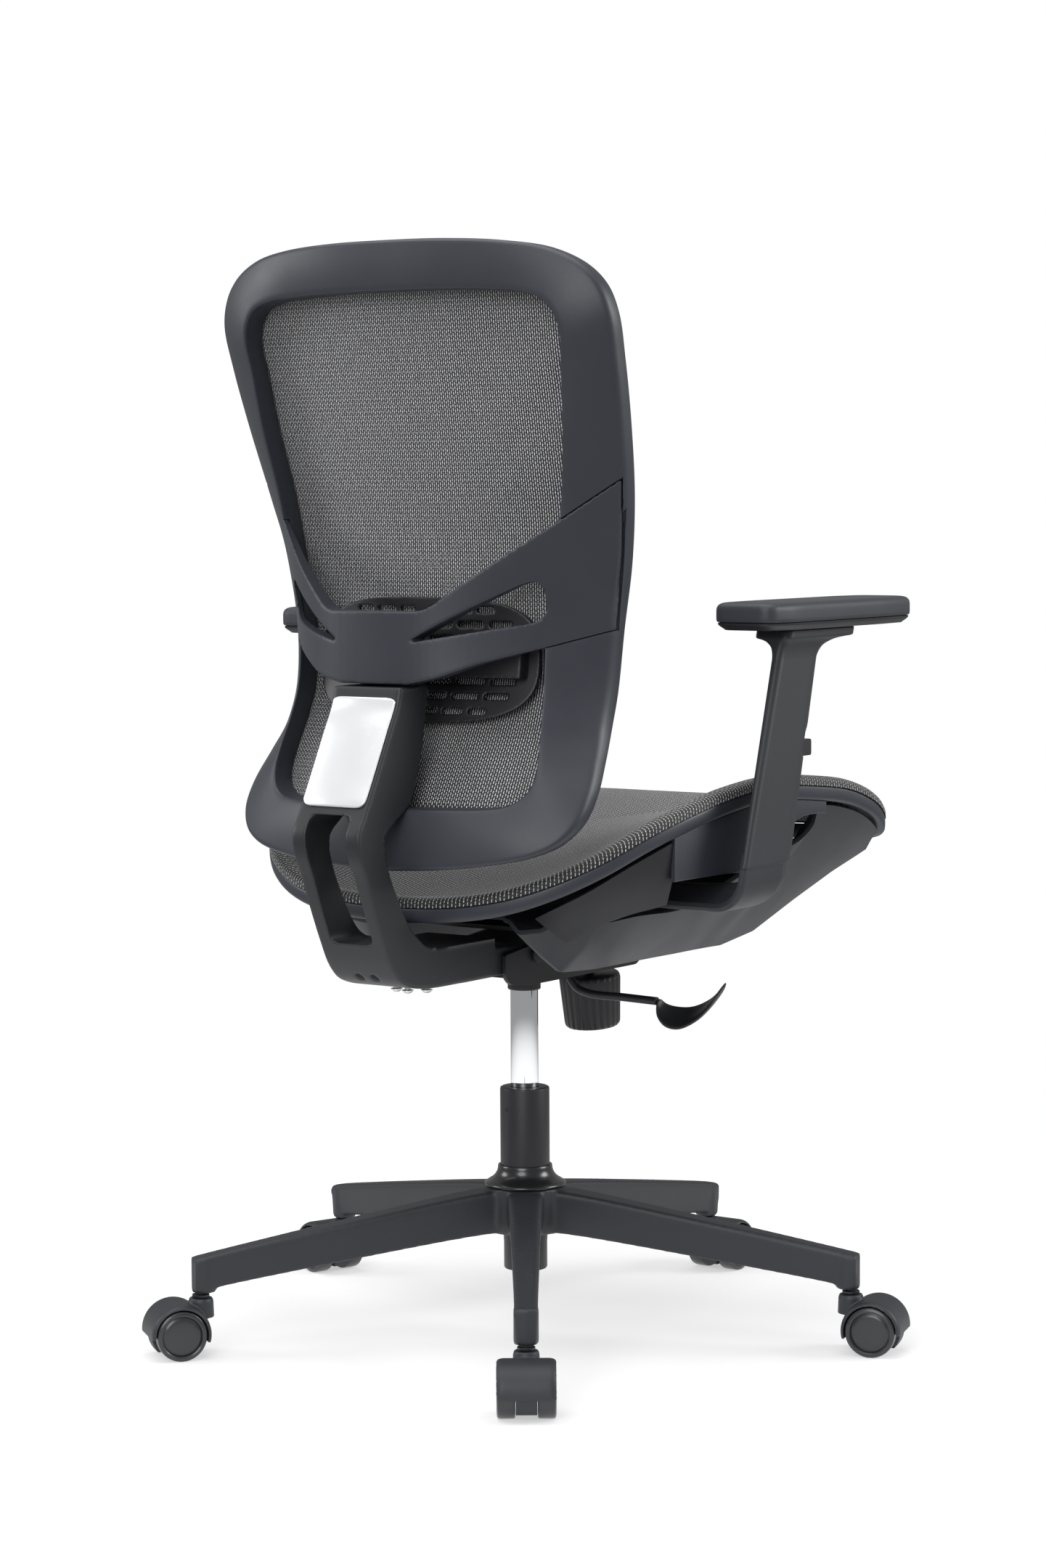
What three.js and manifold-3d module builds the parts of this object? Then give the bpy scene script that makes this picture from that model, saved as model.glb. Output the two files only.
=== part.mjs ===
// Swivel office chair with a mesh back and seat. Millimetres, +Z up.
// The chair faces -Y, so y grows towards the rear. The sitter's right hand is on the -X side.
// The origin is on the floor under the middle of the chair. Everything is drawn from the gas lift's axis,
// and the whole model is then shifted.
import * as THREE from 'three';
import Module from 'manifold-3d';
import { mergeVertices } from 'three/addons/utils/BufferGeometryUtils.js';

const wasm = await Module();
wasm.setup();

// ---- driving dimensions ----
const GAP = 0.35;                 // clearance between neighbouring pieces
const BASE = { legs: 5, socketR: 338, tipR: 345.7, tipTop: 97.4, tipBottom: 62.6 };
const HUB = { radius: 40, top: 150, bottom: 101.5 };
const COLUMN = { radius: 25, foot: 22, top: 249.5, bottom: 63.5, bore: 14.3 };
const ROD = { radius: 14, bottom: 168, top: 380 };
const CASTER = { wheelR: 25, trail: 24.8, wheelIn: 10.4, wheelOut: 27.6, hood: 27.8 };
const HOUSING = { half: 46, wall: 4, rear: 97, front: -150, bottom: 362, top: 417 };
const RECLINE = { y: 45, z: 392, pin: 5 };
const TILT = { y: -110, z: 404, pin: 5 };
const KNOB = { y: -118, top: 352, length: 56, radius: 32, foot: 29, lean: 6 };
const LEVER = { y: -30, rod: 4.2 };
const SPINE = { half: 43, corner: 9 };
const FRAME = { front: 29, edge: 18, bulge: 2.5, steps: 2 };
const MESH = { thick: 2.6, centreY: 790 };
const RIM = { height: 16, width: 20, roll: 9, steps: 2 };
const ARM = { x: 271, pad: 267, lean: 0.2975, rightRaised: 12 };
const ORIGIN_SHIFT = [1.6, 27.8, 0];

// ---- colours and finishes ----
const finish = (color, roughness, metalness = 0) =>
  new THREE.MeshStandardMaterial({ color, roughness, metalness });
const NYLON = finish(0x2b2d31, 0.55);
const SHELL = finish(0x33363c, 0.5);
const DARK = finish(0x1c1d20, 0.45);
const GLOSS = finish(0x101113, 0.15);
const STEEL = finish(0x191a1e, 0.3, 0.6);
const CHROME = finish(0xd5d8dc, 0.08, 1);
const SILVER = finish(0xc9cdd2, 0.2, 0.9);
const NETTING = finish(0x3a3b3d, 0.85);
const SOFT = finish(0x2e3035, 0.65);

// ---- geometry helpers ----
const root = new THREE.Group();
root.position.fromArray(ORIGIN_SHIFT);
const point = (x, y, z) => new THREE.Vector3(x, y, z);
const mix = (a, b, t) => a + (b - a) * t;

function volume(geometry) {
  const p = geometry.attributes.position;
  const index = geometry.index;
  const corner = [point(0, 0, 0), point(0, 0, 0), point(0, 0, 0)];
  let sum = 0;
  for (let i = 0; i < index.count; i += 3) {
    corner.forEach((c, k) => c.fromBufferAttribute(p, index.getX(i + k)));
    sum += corner[0].dot(corner[1].clone().cross(corner[2])) / 6;
  }
  return sum;
}

// Welds shared corners, drops collapsed triangles and turns the faces outwards.
function tidy(geometry) {
  const bare = geometry.clone();
  for (const name of Object.keys(bare.attributes)) {
    if (name !== 'position') bare.deleteAttribute(name);
  }
  const welded = mergeVertices(bare, 1e-3);
  const kept = [];
  for (let i = 0; i < welded.index.count; i += 3) {
    const [a, b, c] = [0, 1, 2].map((k) => welded.index.getX(i + k));
    if (a !== b && b !== c && c !== a) kept.push(a, b, c);
  }
  welded.setIndex(kept);
  if (volume(welded) < 0) {
    for (let i = 0; i < kept.length; i += 3) [kept[i], kept[i + 1]] = [kept[i + 1], kept[i]];
    welded.setIndex(kept);
  }
  return welded;
}

function capTriangles(section) {
  const normal = point(0, 0, 0);
  section.forEach((p, i) => normal.add(p.clone().cross(section[(i + 1) % section.length])));
  const size = [Math.abs(normal.x), Math.abs(normal.y), Math.abs(normal.z)];
  const drop = size.indexOf(Math.max(...size));
  const flat = section.map((p) => {
    const c = p.toArray().filter((_, k) => k !== drop);
    return new THREE.Vector2(c[0], c[1]);
  });
  const area = THREE.ShapeUtils.area(flat);
  return THREE.ShapeUtils.triangulateShape(flat.slice(), []).map((t) => {
    const same = THREE.ShapeUtils.area(t.map((i) => flat[i])) * area > 0;
    return same ? t : [t[0], t[2], t[1]];
  });
}

// A skin over a row of closed sections, either capped at both ends or joined into a ring.
function skin(sections, ring = false) {
  const m = sections[0].length;
  const triangles = [];
  const spans = ring ? sections.length : sections.length - 1;
  for (let i = 0; i < spans; i++) {
    const a = i * m;
    const b = ((i + 1) % sections.length) * m;
    for (let j = 0; j < m; j++) {
      const k = (j + 1) % m;
      triangles.push(a + j, b + j, b + k, a + j, b + k, a + k);
    }
  }
  if (!ring) {
    const end = (sections.length - 1) * m;
    capTriangles(sections[0]).forEach(([p, q, r]) => triangles.push(p, q, r));
    capTriangles(sections.at(-1)).forEach(([p, q, r]) => triangles.push(end + p, end + r, end + q));
  }
  const geometry = new THREE.BufferGeometry();
  const coordinates = sections.flat().flatMap((p) => p.toArray());
  geometry.setAttribute('position', new THREE.Float32BufferAttribute(coordinates, 3));
  geometry.setIndex(triangles);
  return tidy(geometry);
}

// A profile of [radius, height] pairs turned about Z.
function turned(profile, sides = 32) {
  const points = profile.map(([r, z]) => new THREE.Vector2(r, z));
  points.push(points[0].clone());
  return tidy(new THREE.LatheGeometry(points, sides).rotateX(Math.PI / 2));
}

// An outline with every corner rounded to the radius given with it: [a, b, radius].
function rounded(corners, steps = 4) {
  const n = corners.length;
  const points = [];
  corners.forEach(([a, b, radius = 0], i) => {
    const here = new THREE.Vector2(a, b);
    const ends = [corners[(i + n - 1) % n], corners[(i + 1) % n]].map(([p, q]) => {
      const way = new THREE.Vector2(p, q).sub(here);
      return here.clone().addScaledVector(way.normalize(), radius);
    });
    if (radius === 0) {
      points.push(here);
      return;
    }
    const arc = new THREE.QuadraticBezierCurve(ends[0], here, ends[1]);
    points.push(...arc.getPoints(steps));
  });
  return points;
}

const extrude = (outline, depth, holes = []) => {
  const shape = new THREE.Shape(outline);
  shape.holes = holes.map((hole) => new THREE.Path(hole));
  return new THREE.ExtrudeGeometry(shape, { depth, bevelEnabled: false });
};
const SIDEWAYS = new THREE.Matrix4().set(0, 0, 1, 0, 1, 0, 0, 0, 0, 1, 0, 0, 0, 0, 0, 1);
// Outline in plan (x, y), from z low to high.
const prismZ = (outline, low, high, holes) =>
  tidy(extrude(outline, high - low, holes).translate(0, 0, low));
// Outline seen from behind (x, z), from y low to high.
const prismY = (outline, low, high, holes) =>
  tidy(extrude(outline, high - low, holes).rotateX(Math.PI / 2).translate(0, high, 0));
// Outline seen from the side (y, z), from x low to high.
const prismX = (outline, low, high, holes) =>
  tidy(extrude(outline, high - low, holes).applyMatrix4(SIDEWAYS).translate(low, 0, 0));

const box = (x0, x1, y0, y1, z0, z1) =>
  tidy(new THREE.BoxGeometry(x1 - x0, y1 - y0, z1 - z0)
    .translate((x0 + x1) / 2, (y0 + y1) / 2, (z0 + z1) / 2));

function pin(axis, radius, low, high, a, b, sides = 16) {
  const rod = new THREE.CylinderGeometry(radius, radius, high - low, sides).rotateX(Math.PI / 2);
  rod.translate(0, 0, (low + high) / 2);
  if (axis === 'x') rod.rotateY(Math.PI / 2).translate(0, a, b);
  if (axis === 'y') rod.rotateX(-Math.PI / 2).translate(a, 0, b);
  if (axis === 'z') rod.translate(a, b, 0);
  return tidy(rod);
}

function solid(geometry) {
  return new wasm.Manifold(new wasm.Mesh({
    numProp: 3,
    vertProperties: new Float32Array(geometry.attributes.position.array),
    triVerts: new Uint32Array(geometry.index.array),
  }));
}
function shaped(manifold) {
  const mesh = manifold.getMesh();
  const geometry = new THREE.BufferGeometry();
  geometry.setAttribute('position', new THREE.Float32BufferAttribute(mesh.vertProperties, 3));
  geometry.setIndex([...mesh.triVerts]);
  return geometry;
}
const join = (first, ...rest) => shaped(rest.reduce((sum, g) => sum.add(solid(g)), solid(first)));
const cut = (first, ...rest) => shaped(rest.reduce((sum, g) => sum.subtract(solid(g)), solid(first)));
const common = (first, second) => shaped(solid(first).intersect(solid(second)));
const mirrored = (geometry) => tidy(geometry.clone().scale(-1, 1, 1));

function place(name, geometry, material, parent = root) {
  const mesh = new THREE.Mesh(geometry, material);
  mesh.name = name;
  parent.add(mesh);
  return mesh;
}

// Values given at some heights or depths, joined smoothly.
function smooth(table, at) {
  const curve = new THREE.SplineCurve(table.map(([a, b]) => new THREE.Vector2(a, b)));
  let low = 0;
  let high = 1;
  const rising = table.at(-1)[0] > table[0][0];
  for (let i = 0; i < 30; i++) {
    const middle = (low + high) / 2;
    if ((curve.getPoint(middle).x < at) === rising) low = middle;
    else high = middle;
  }
  return curve.getPoint(low).y;
}

// A closed ring of stations through a half list of [x, y, z] points and their mirror images.
function ringCurve(half) {
  const there = half.map(([x, y, z]) => point(x, y, z));
  const back = half.slice(1, -1).reverse().map(([x, y, z]) => point(-x, y, z));
  return new THREE.CatmullRomCurve3([...there, ...back], true);
}

// ---- five-star base ----
function buildBase() {
  const hub = turned([[0, HUB.bottom], [35, HUB.bottom], [38, 106], [HUB.radius, 112],
    [HUB.radius, HUB.top - GAP], [0, HUB.top - GAP]], 24);
  const legSection = (r, half, low, high) => [
    point(r, -half, high - 3), point(r, -half + 3, high), point(r, half - 3, high),
    point(r, half, high - 3), point(r, half - 2, low), point(r, -half + 2, low)];
  const leg = skin([legSection(18, 19, 104, 148), legSection(60, 17, 101, 144),
    legSection(200, 14, 84, 122), legSection(318, 11.7, 68, 102.2),
    legSection(BASE.tipR, 11.7, BASE.tipBottom, BASE.tipTop)]);
  const socket = pin('z', 11.75, BASE.tipBottom, 84, BASE.socketR - 3, 0, 12);
  const bore = turned([[0, 90], [COLUMN.foot + 0.6, 90], [COLUMN.radius + GAP, HUB.top],
    [COLUMN.radius + GAP, 160], [0, 160]], 24);
  const stemHole = pin('z', 5.8, 50, 82, BASE.socketR, 0, 8);
  let whole = solid(hub);
  for (let i = 0; i < BASE.legs; i++) {
    const turn = (g) => tidy(g.clone().rotateZ(legAngle(i)));
    whole = whole.add(solid(turn(leg))).add(solid(turn(socket)));
  }
  for (let i = 0; i < BASE.legs; i++) {
    whole = whole.subtract(solid(tidy(stemHole.clone().rotateZ(legAngle(i)))));
  }
  place('base_star', shaped(whole.subtract(solid(bore))), NYLON);
  place('hub_cap', turned([[COLUMN.radius + GAP, HUB.top], [41.5, HUB.top], [41, 152], [33, 157], [28.5, 163],
    [27.5, 170], [COLUMN.radius + GAP, 170]], 24), GLOSS);
}

// The first leg points away from the rear right corner; the others follow at equal steps.
function legAngle(i) {
  return THREE.MathUtils.degToRad(90 + 35 + i * 360 / BASE.legs);
}

function buildColumn() {
  place('column_tube', turned([[0, COLUMN.bottom], [COLUMN.foot - 1, COLUMN.bottom], [COLUMN.foot, 65],
    [COLUMN.foot, 90], [COLUMN.radius, 148], [COLUMN.radius, COLUMN.top - 2], [COLUMN.radius - 2, COLUMN.top],
    [COLUMN.bore, COLUMN.top], [COLUMN.bore, 72], [0, 72]], 24), DARK);
  place('gas_rod', turned([[0, ROD.bottom], [ROD.radius, ROD.bottom], [ROD.radius, 350], [13, ROD.top],
    [0, ROD.top]], 24), CHROME);
}

// ---- casters ----
function buildCaster(i) {
  const spot = new THREE.Group();
  const angle = legAngle(i);
  spot.position.set(BASE.socketR * Math.cos(angle), BASE.socketR * Math.sin(angle), 0);
  spot.rotation.z = angle;
  root.add(spot);
  const wheel = { y: CASTER.trail, z: CASTER.wheelR };
  const arc = (radius, from, to, steps) => Array.from({ length: steps + 1 }, (_, k) => {
    const a = THREE.MathUtils.degToRad(mix(from, to, k / steps));
    return new THREE.Vector2(wheel.y + radius * Math.cos(a), wheel.z + radius * Math.sin(a));
  });
  // Local frame: x runs outwards from the stem, so the hood's side view is drawn in (x, z).
  const fender = prismY([...arc(30.2, -4, 196, 8), ...arc(26.6, 196, -4, 8)], -CASTER.hood, CASTER.hood);
  const web = prismY(arc(27.5, -40, 220, 10), -CASTER.wheelIn + 0.4, CASTER.wheelIn - 0.4);
  const boss = turned([[0, 38], [13, 38], [12.4, 54], [11.2, 57.5], [0, 57.5]], 12);
  const axleHole = pin('y', 4.5, -20, 20, wheel.y, wheel.z, 8);
  const treadRoom = join(
    pin('y', 26, CASTER.wheelIn - 0.3, CASTER.hood + 1, wheel.y, wheel.z, 16),
    pin('y', 26, -CASTER.hood - 1, -CASTER.wheelIn + 0.3, wheel.y, wheel.z, 16));
  const stemHole = pin('z', 5.8, 46, 60, 0, 0, 8);
  const hood = shaped(solid(join(fender, web, boss)).subtract(solid(treadRoom))
    .subtract(solid(axleHole)).subtract(solid(stemHole)));
  place(`caster_hood_${i + 1}`, hood, NYLON, spot);
  place(`caster_stem_${i + 1}`, turned([[0, 46.4], [5.4, 46.4], [5.4, 58], [8.6, 58], [8.6, 60.6], [5.4, 61.2],
    [5.4, 81.4], [0, 81.4]], 8), CHROME, spot);
  const tread = 20;
  const cornerR = CASTER.wheelR / Math.cos(Math.PI / tread);
  const half = [[0, -CASTER.wheelOut], [cornerR - 1.8, -CASTER.wheelOut],
    [cornerR, -CASTER.wheelOut + 2], [cornerR, -CASTER.wheelIn], [3.9, -CASTER.wheelIn]];
  const other = half.map(([r, z]) => [r, -z]).reverse();
  const pair = turned([...half, ...other], tread).rotateZ(Math.PI / tread).rotateX(Math.PI / 2);
  place(`caster_wheels_${i + 1}`, tidy(pair.translate(wheel.y, 0, wheel.z)), GLOSS, spot);
}

// ---- mechanism ----
function buildMechanism() {
  const { half, wall, rear, front, bottom, top } = HOUSING;
  const side = rounded([[front, bottom + 14, 7], [front + 10, bottom, 7], [rear - 44, bottom, 4],
    [rear - 8, bottom + 4, 5], [rear, bottom + 12, 4], [rear, top - 21, 3], [RECLINE.y, top - 14.5],
    [front + 55, top], [front, top, 3]], 3);
  const inside = box(-half + wall, half - wall, front + wall, rear + 5, bottom + wall, top + 5);
  const floorGap = box(-half + wall, half - wall, 27, rear + 5, bottom - 5, bottom + wall + 5);
  const tower = turned([[0, bottom + 1], [21, bottom + 1], [19, 386], [0, 386]], 20);
  const bore = turned([[0, 350], [14.6, 350], [13.8, 382], [0, 382]], 24);
  const hole = (p) => pin('x', p.pin + 0.25, -60, 60, p.y, p.z);
  const knobHole = pin('z', 7.4, bottom - 5, bottom + 10, 0, KNOB.y);
  const leverHole = pin('z', 6, bottom - 5, bottom + 10, -35, LEVER.y);
  let body = solid(cut(prismX(side, -half, half), inside, floorGap)).add(solid(tower));
  for (const tool of [bore, hole(RECLINE), hole(TILT), knobHole, leverHole]) body = body.subtract(solid(tool));
  place('mechanism_housing', shaped(body), STEEL);
  place('rod_collar', turned([[ROD.radius + GAP, 348.5], [16.2, 348.5], [16.8, 350], [16.8, bottom - GAP],
    [ROD.radius + GAP, bottom - GAP]], 24), DARK);
  const pinNode = (name, p) => place(name, join(pin('x', p.pin, -50, 50, p.y, p.z),
    pin('x', p.pin + 3, -50, -half - GAP, p.y, p.z)), STEEL);
  pinNode('recline_axle', RECLINE);
  pinNode('tilt_axle', TILT);
  const lug = (x0, x1) => prismX(rounded([[TILT.y - 11, TILT.z - 10, 8], [TILT.y + 11, TILT.z - 10, 8],
    [TILT.y + 13, 421], [TILT.y - 13, 421]], 3), x0, x1);
  const plate = join(box(-66, 66, -150, 92, 420, 424.5), lug(-41, -35), lug(35, 41),
    box(-62, -50, -140, 86, 423, 435.6), box(50, 62, -140, 86, 423, 435.6));
  place('seat_plate', cut(plate, pin('x', TILT.pin + 0.25, -60, 60, TILT.y, TILT.z)), STEEL);
}

function buildKnob() {
  const ribs = 24;
  const outline = (radius) => Array.from({ length: ribs * 2 }, (_, k) => {
    const a = k * Math.PI / ribs;
    const r = radius - (k % 2) * 1.3;
    return [r * Math.cos(a), r * Math.sin(a)];
  });
  const ring = (radius, z) => outline(radius).map(([a, b]) => point(a, b, z));
  const grip = skin([ring(KNOB.foot - 3, -KNOB.length), ring(KNOB.foot, -KNOB.length + 4),
    ring(KNOB.radius, -5), ring(KNOB.radius - 3, 0)]);
  const stem = pin('z', 5, -4, 13, 0, 0);
  const knob = join(grip, stem).rotateX(THREE.MathUtils.degToRad(-KNOB.lean));
  place('tension_knob', tidy(knob.translate(0, KNOB.y, KNOB.top)), DARK);
}

function buildLever() {
  const path = new THREE.CatmullRomCurve3([point(-34.5, 0, 376), point(-35.5, 0, 361), point(-44, 0, 349),
    point(-60, 0, 344.5), point(-100, 0, 344), point(-140, 0, 343)], false, 'catmullrom', 0.2);
  const circle = new THREE.Shape().absarc(0, 0, LEVER.rod, 0, Math.PI * 2);
  const sweep = { steps: 14, extrudePath: path, bevelEnabled: false, curveSegments: 4 };
  const rod = new THREE.ExtrudeGeometry(circle, sweep);
  place('lever_rod', tidy(rod.translate(0, LEVER.y, 0)), STEEL);
  // The paddle is a leaf tilted to the rear: it sags in the middle and curls up at its outer end.
  const rows = [[140.5, 7, 342, 6.5], [146, 13, 334, 5.5], [157, 20, 329, 5], [174, 24, 329, 4.6],
    [194, 23, 338, 4.4], [209, 18, 351, 4.2], [219, 9, 364, 4]];
  const tilt = THREE.MathUtils.degToRad(30);
  const sections = rows.map(([x, half, z, thick]) => Array.from({ length: 10 }, (_, k) => {
    const a = k * Math.PI / 5;
    const across = half * Math.cos(a);
    return point(-x, LEVER.y + across * Math.cos(tilt), z + thick * Math.sin(a) - across * Math.sin(tilt));
  }));
  place('lever_paddle', skin(sections), DARK);
}

// ---- back frame ----
// Rear edges of the frame's ring from the top centre down one side: outer and inner points in pairs.
const FRAME_OUTER = [[0, 226, 1088], [70, 225, 1087], [130, 217, 1083], [172, 206, 1075.5], [203, 197, 1060.5],
  [221, 190.5, 1041], [229.5, 185, 1015], [228.5, 173, 973], [223, 155, 915], [213, 134, 845],
  [200.5, 119.5, 781], [191, 118.5, 720], [187, 124, 660], [188, 136, 627], [195, 158, 595], [201, 181, 564],
  [199, 198, 540], [186, 213, 521], [160, 228, 508], [110, 244, 498.5], [55, 255, 493.5], [0, 258, 492]];
const FRAME_INNER = [[0, 224, 1040], [62, 223, 1039.5], [115, 218, 1037.5], [150, 215, 1034.5],
  [171, 212, 1027],
  [182, 209, 1013], [186, 205, 995], [183, 199, 965], [178, 189.5, 912], [168, 177, 845], [158, 173.3, 781],
  [147.5, 173, 720], [146.5, 177, 662], [150, 186.5, 628], [154, 197, 600], [154.5, 205, 580],
  [148, 213.5, 565], [134, 222.5, 556], [112, 232, 553], [78, 243, 552], [40, 249.5, 551.5], [0, 252, 551.5]];
const outerEdge = ringCurve(FRAME_OUTER);
const innerEdge = ringCurve(FRAME_INNER);
const FRAME_STATIONS = (FRAME_OUTER.length - 1) * 2;

// A point on the rear face: station along the ring, and u from the inner edge (0) to the outer edge (1).
function rearFace(station, u) {
  const t = station / FRAME_STATIONS;
  const p = innerEdge.getPoint(t).lerp(outerEdge.getPoint(t), u);
  p.y += FRAME.bulge * 4 * u * (1 - u);
  return p;
}
// The front face, as deep as the ring is thick.
function frontFace(station, u, lift = 0) {
  const t = station / FRAME_STATIONS;
  const p = innerEdge.getPoint(t).lerp(outerEdge.getPoint(t), u);
  p.y -= mix(FRAME.front, FRAME.edge + 1, u) + lift;
  return p;
}
const FACE_STEPS = [0.05, 0.5, 0.94];

function frameRing() {
  const sections = [];
  for (let i = 0; i < FRAME_STATIONS * FRAME.steps; i++) {
    const s = i / FRAME.steps;
    const ahead = (p, depth) => point(p.x, p.y - depth, p.z);
    const inner = rearFace(s, 0);
    const outer = rearFace(s, 1);
    sections.push([ahead(inner, 2.5), ...FACE_STEPS.map((u) => rearFace(s, u)), ahead(outer, 3.5),
      ahead(outer, FRAME.edge - 2), frontFace(s, 0.93), frontFace(s, 0.06), ahead(inner, FRAME.front - 2.5)]);
  }
  return skin(sections, true);
}

// ---- yoke ----
const YOKE = { centre: 252, first: 8.25, last: 12.5, rows: 7, end: 0.93 };
const YOKE_UPPER = [[58, 738], [240, 882.6]];
const YOKE_LOWER = [[40, 669], [70, 675.5], [100, 688], [150, 704], [240, 737]];

// The yoke's rear surface runs from the flat centre out to the face of the ring.
function yokeColumns(station, extra) {
  const edge = rearFace(station, 0);
  const slopeEnd = (rearFace(station, 0.4).y - edge.y) / (rearFace(station, 0.4).x - edge.x);
  const start = { x: 40, y: YOKE.centre - 3.2, slope: -0.16 };
  const points = [];
  for (const x of [0, 14, 28]) points.push(point(x, YOKE.centre - 0.002 * x * x, edge.z));
  const span = edge.x - start.x;
  for (let k = 0; k <= 7; k++) {
    const t = k / 7;
    const y = (2 * t ** 3 - 3 * t ** 2 + 1) * start.y + (t ** 3 - 2 * t ** 2 + t) * span * start.slope
      + (3 * t ** 2 - 2 * t ** 3) * edge.y + (t ** 3 - t ** 2) * span * slopeEnd;
    points.push(point(mix(start.x, edge.x, t), y, edge.z));
  }
  for (const u of [...FACE_STEPS.slice(0, 2), YOKE.end + extra]) points.push(rearFace(station, u));
  return points;
}
function yokeThickness(x) {
  return smooth([[0, 24], [60, 22], [100, 17], [150, 12], [175, 9], [240, 8]], x);
}
function yokeSlab(margin) {
  const sections = [];
  const rows = YOKE.rows;
  const grid = [];
  for (let r = 0; r <= rows; r++) {
    const station = mix(YOKE.first, YOKE.last, r / rows);
    const rightHalf = yokeColumns(station, margin / 22);
    const whole = [...rightHalf.slice(1).reverse().map((p) => point(-p.x, p.y, p.z)), ...rightHalf];
    grid.push(whole);
  }
  const columns = grid[0].length;
  for (let c = 0; c < columns; c++) {
    const rear = grid.map((row) => row[c].clone().setY(row[c].y + margin * 12));
    const front = grid.map((row) => row[c].clone().setY(row[c].y - yokeThickness(Math.abs(row[c].x)) - margin));
    sections.push([...rear, ...front.reverse()]);
  }
  return skin(sections);
}
function yokeOutline(margin) {
  const upper = YOKE_UPPER.map(([x, z]) => [x, z + margin * 1.3]);
  const lower = YOKE_LOWER.map(([x, z]) => [x, z - margin * 1.1]);
  const right = [...lower, ...upper.slice().reverse()];
  const left = right.slice().reverse().map(([x, z]) => [-x, z]);
  const corners = [...right, ...left].map(([x, z]) => [x, z, Math.abs(x) > 50 && Math.abs(x) < 120 ? 8 : 0]);
  return rounded(corners, 3);
}
function yokeWindow(side) {
  return rounded([[side * 38, 707.5, 12], [side * 150, 772, 20], [side * 149, 728, 15]], 4);
}
function buildBack() {
  const yoke = cut(common(yokeSlab(0), prismY(yokeOutline(0), 80, 300)),
    prismY(yokeWindow(1), 80, 300), prismY(yokeWindow(-1), 80, 300));
  place('yoke', yoke, SHELL);
  const pocket = common(yokeSlab(2 * GAP), prismY(yokeOutline(2 * GAP), 80, 300));
  place('back_frame', cut(frameRing(), pocket), SHELL);
  place('back_mesh', backMesh(), NETTING);
}

// The net lies over the front of the ring and dips rearwards across the opening.
const NET_CENTRE = [[551, 223], [580, 208], [610, 191], [640, 176], [670, 165], [700, 160], [750, 158],
  [810, 160], [870, 167], [930, 177], [990, 188], [1040, 195]];
function netPoint(station, f) {
  if (f > 1) return frontFace(station, mix(0.06, 0.8, f - 1), 1);
  const rim = frontFace(station, 0.06, 1);
  const z = mix(MESH.centreY, rim.z, f);
  const depth = smooth(NET_CENTRE, z) + (rim.y - smooth(NET_CENTRE, rim.z)) * f * f;
  return point(rim.x * f, depth, z);
}
function sheet(ringAt, count, fractions, centre, offset) {
  const positions = [];
  const triangles = [];
  const rings = fractions.length;
  for (const side of [0, 1]) {
    const shift = offset.clone().multiplyScalar(side);
    for (const f of fractions) {
      for (let i = 0; i < count; i++) positions.push(...ringAt(i, f).add(shift).toArray());
    }
    positions.push(...centre.clone().add(shift).toArray());
  }
  const layer = rings * count + 1;
  for (let i = 0; i < count; i++) {
    const k = (i + 1) % count;
    for (const base of [0, layer]) {
      const flip = base > 0;
      const add = (a, b, c) => triangles.push(base + a, base + (flip ? c : b), base + (flip ? b : c));
      for (let r = 0; r + 1 < rings; r++) {
        add(r * count + i, (r + 1) * count + i, (r + 1) * count + k);
        add(r * count + i, (r + 1) * count + k, r * count + k);
      }
      add((rings - 1) * count + i, layer - 1, (rings - 1) * count + k);
    }
    triangles.push(i, k, layer + k, i, layer + k, layer + i);
  }
  const geometry = new THREE.BufferGeometry();
  geometry.setAttribute('position', new THREE.Float32BufferAttribute(positions, 3));
  geometry.setIndex(triangles);
  return tidy(geometry);
}
function backMesh() {
  const count = FRAME_STATIONS * FRAME.steps;
  const centre = point(0, smooth(NET_CENTRE, MESH.centreY), MESH.centreY);
  return sheet((i, f) => netPoint(i / FRAME.steps, f), count, [2, 1, 0.78, 0.52, 0.26], centre,
    point(0, -MESH.thick, 0));
}

// ---- lumbar support ----
const LUMBAR = { half: 130, low: 629, high: 749, gap: 4, thick: 5 };
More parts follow.
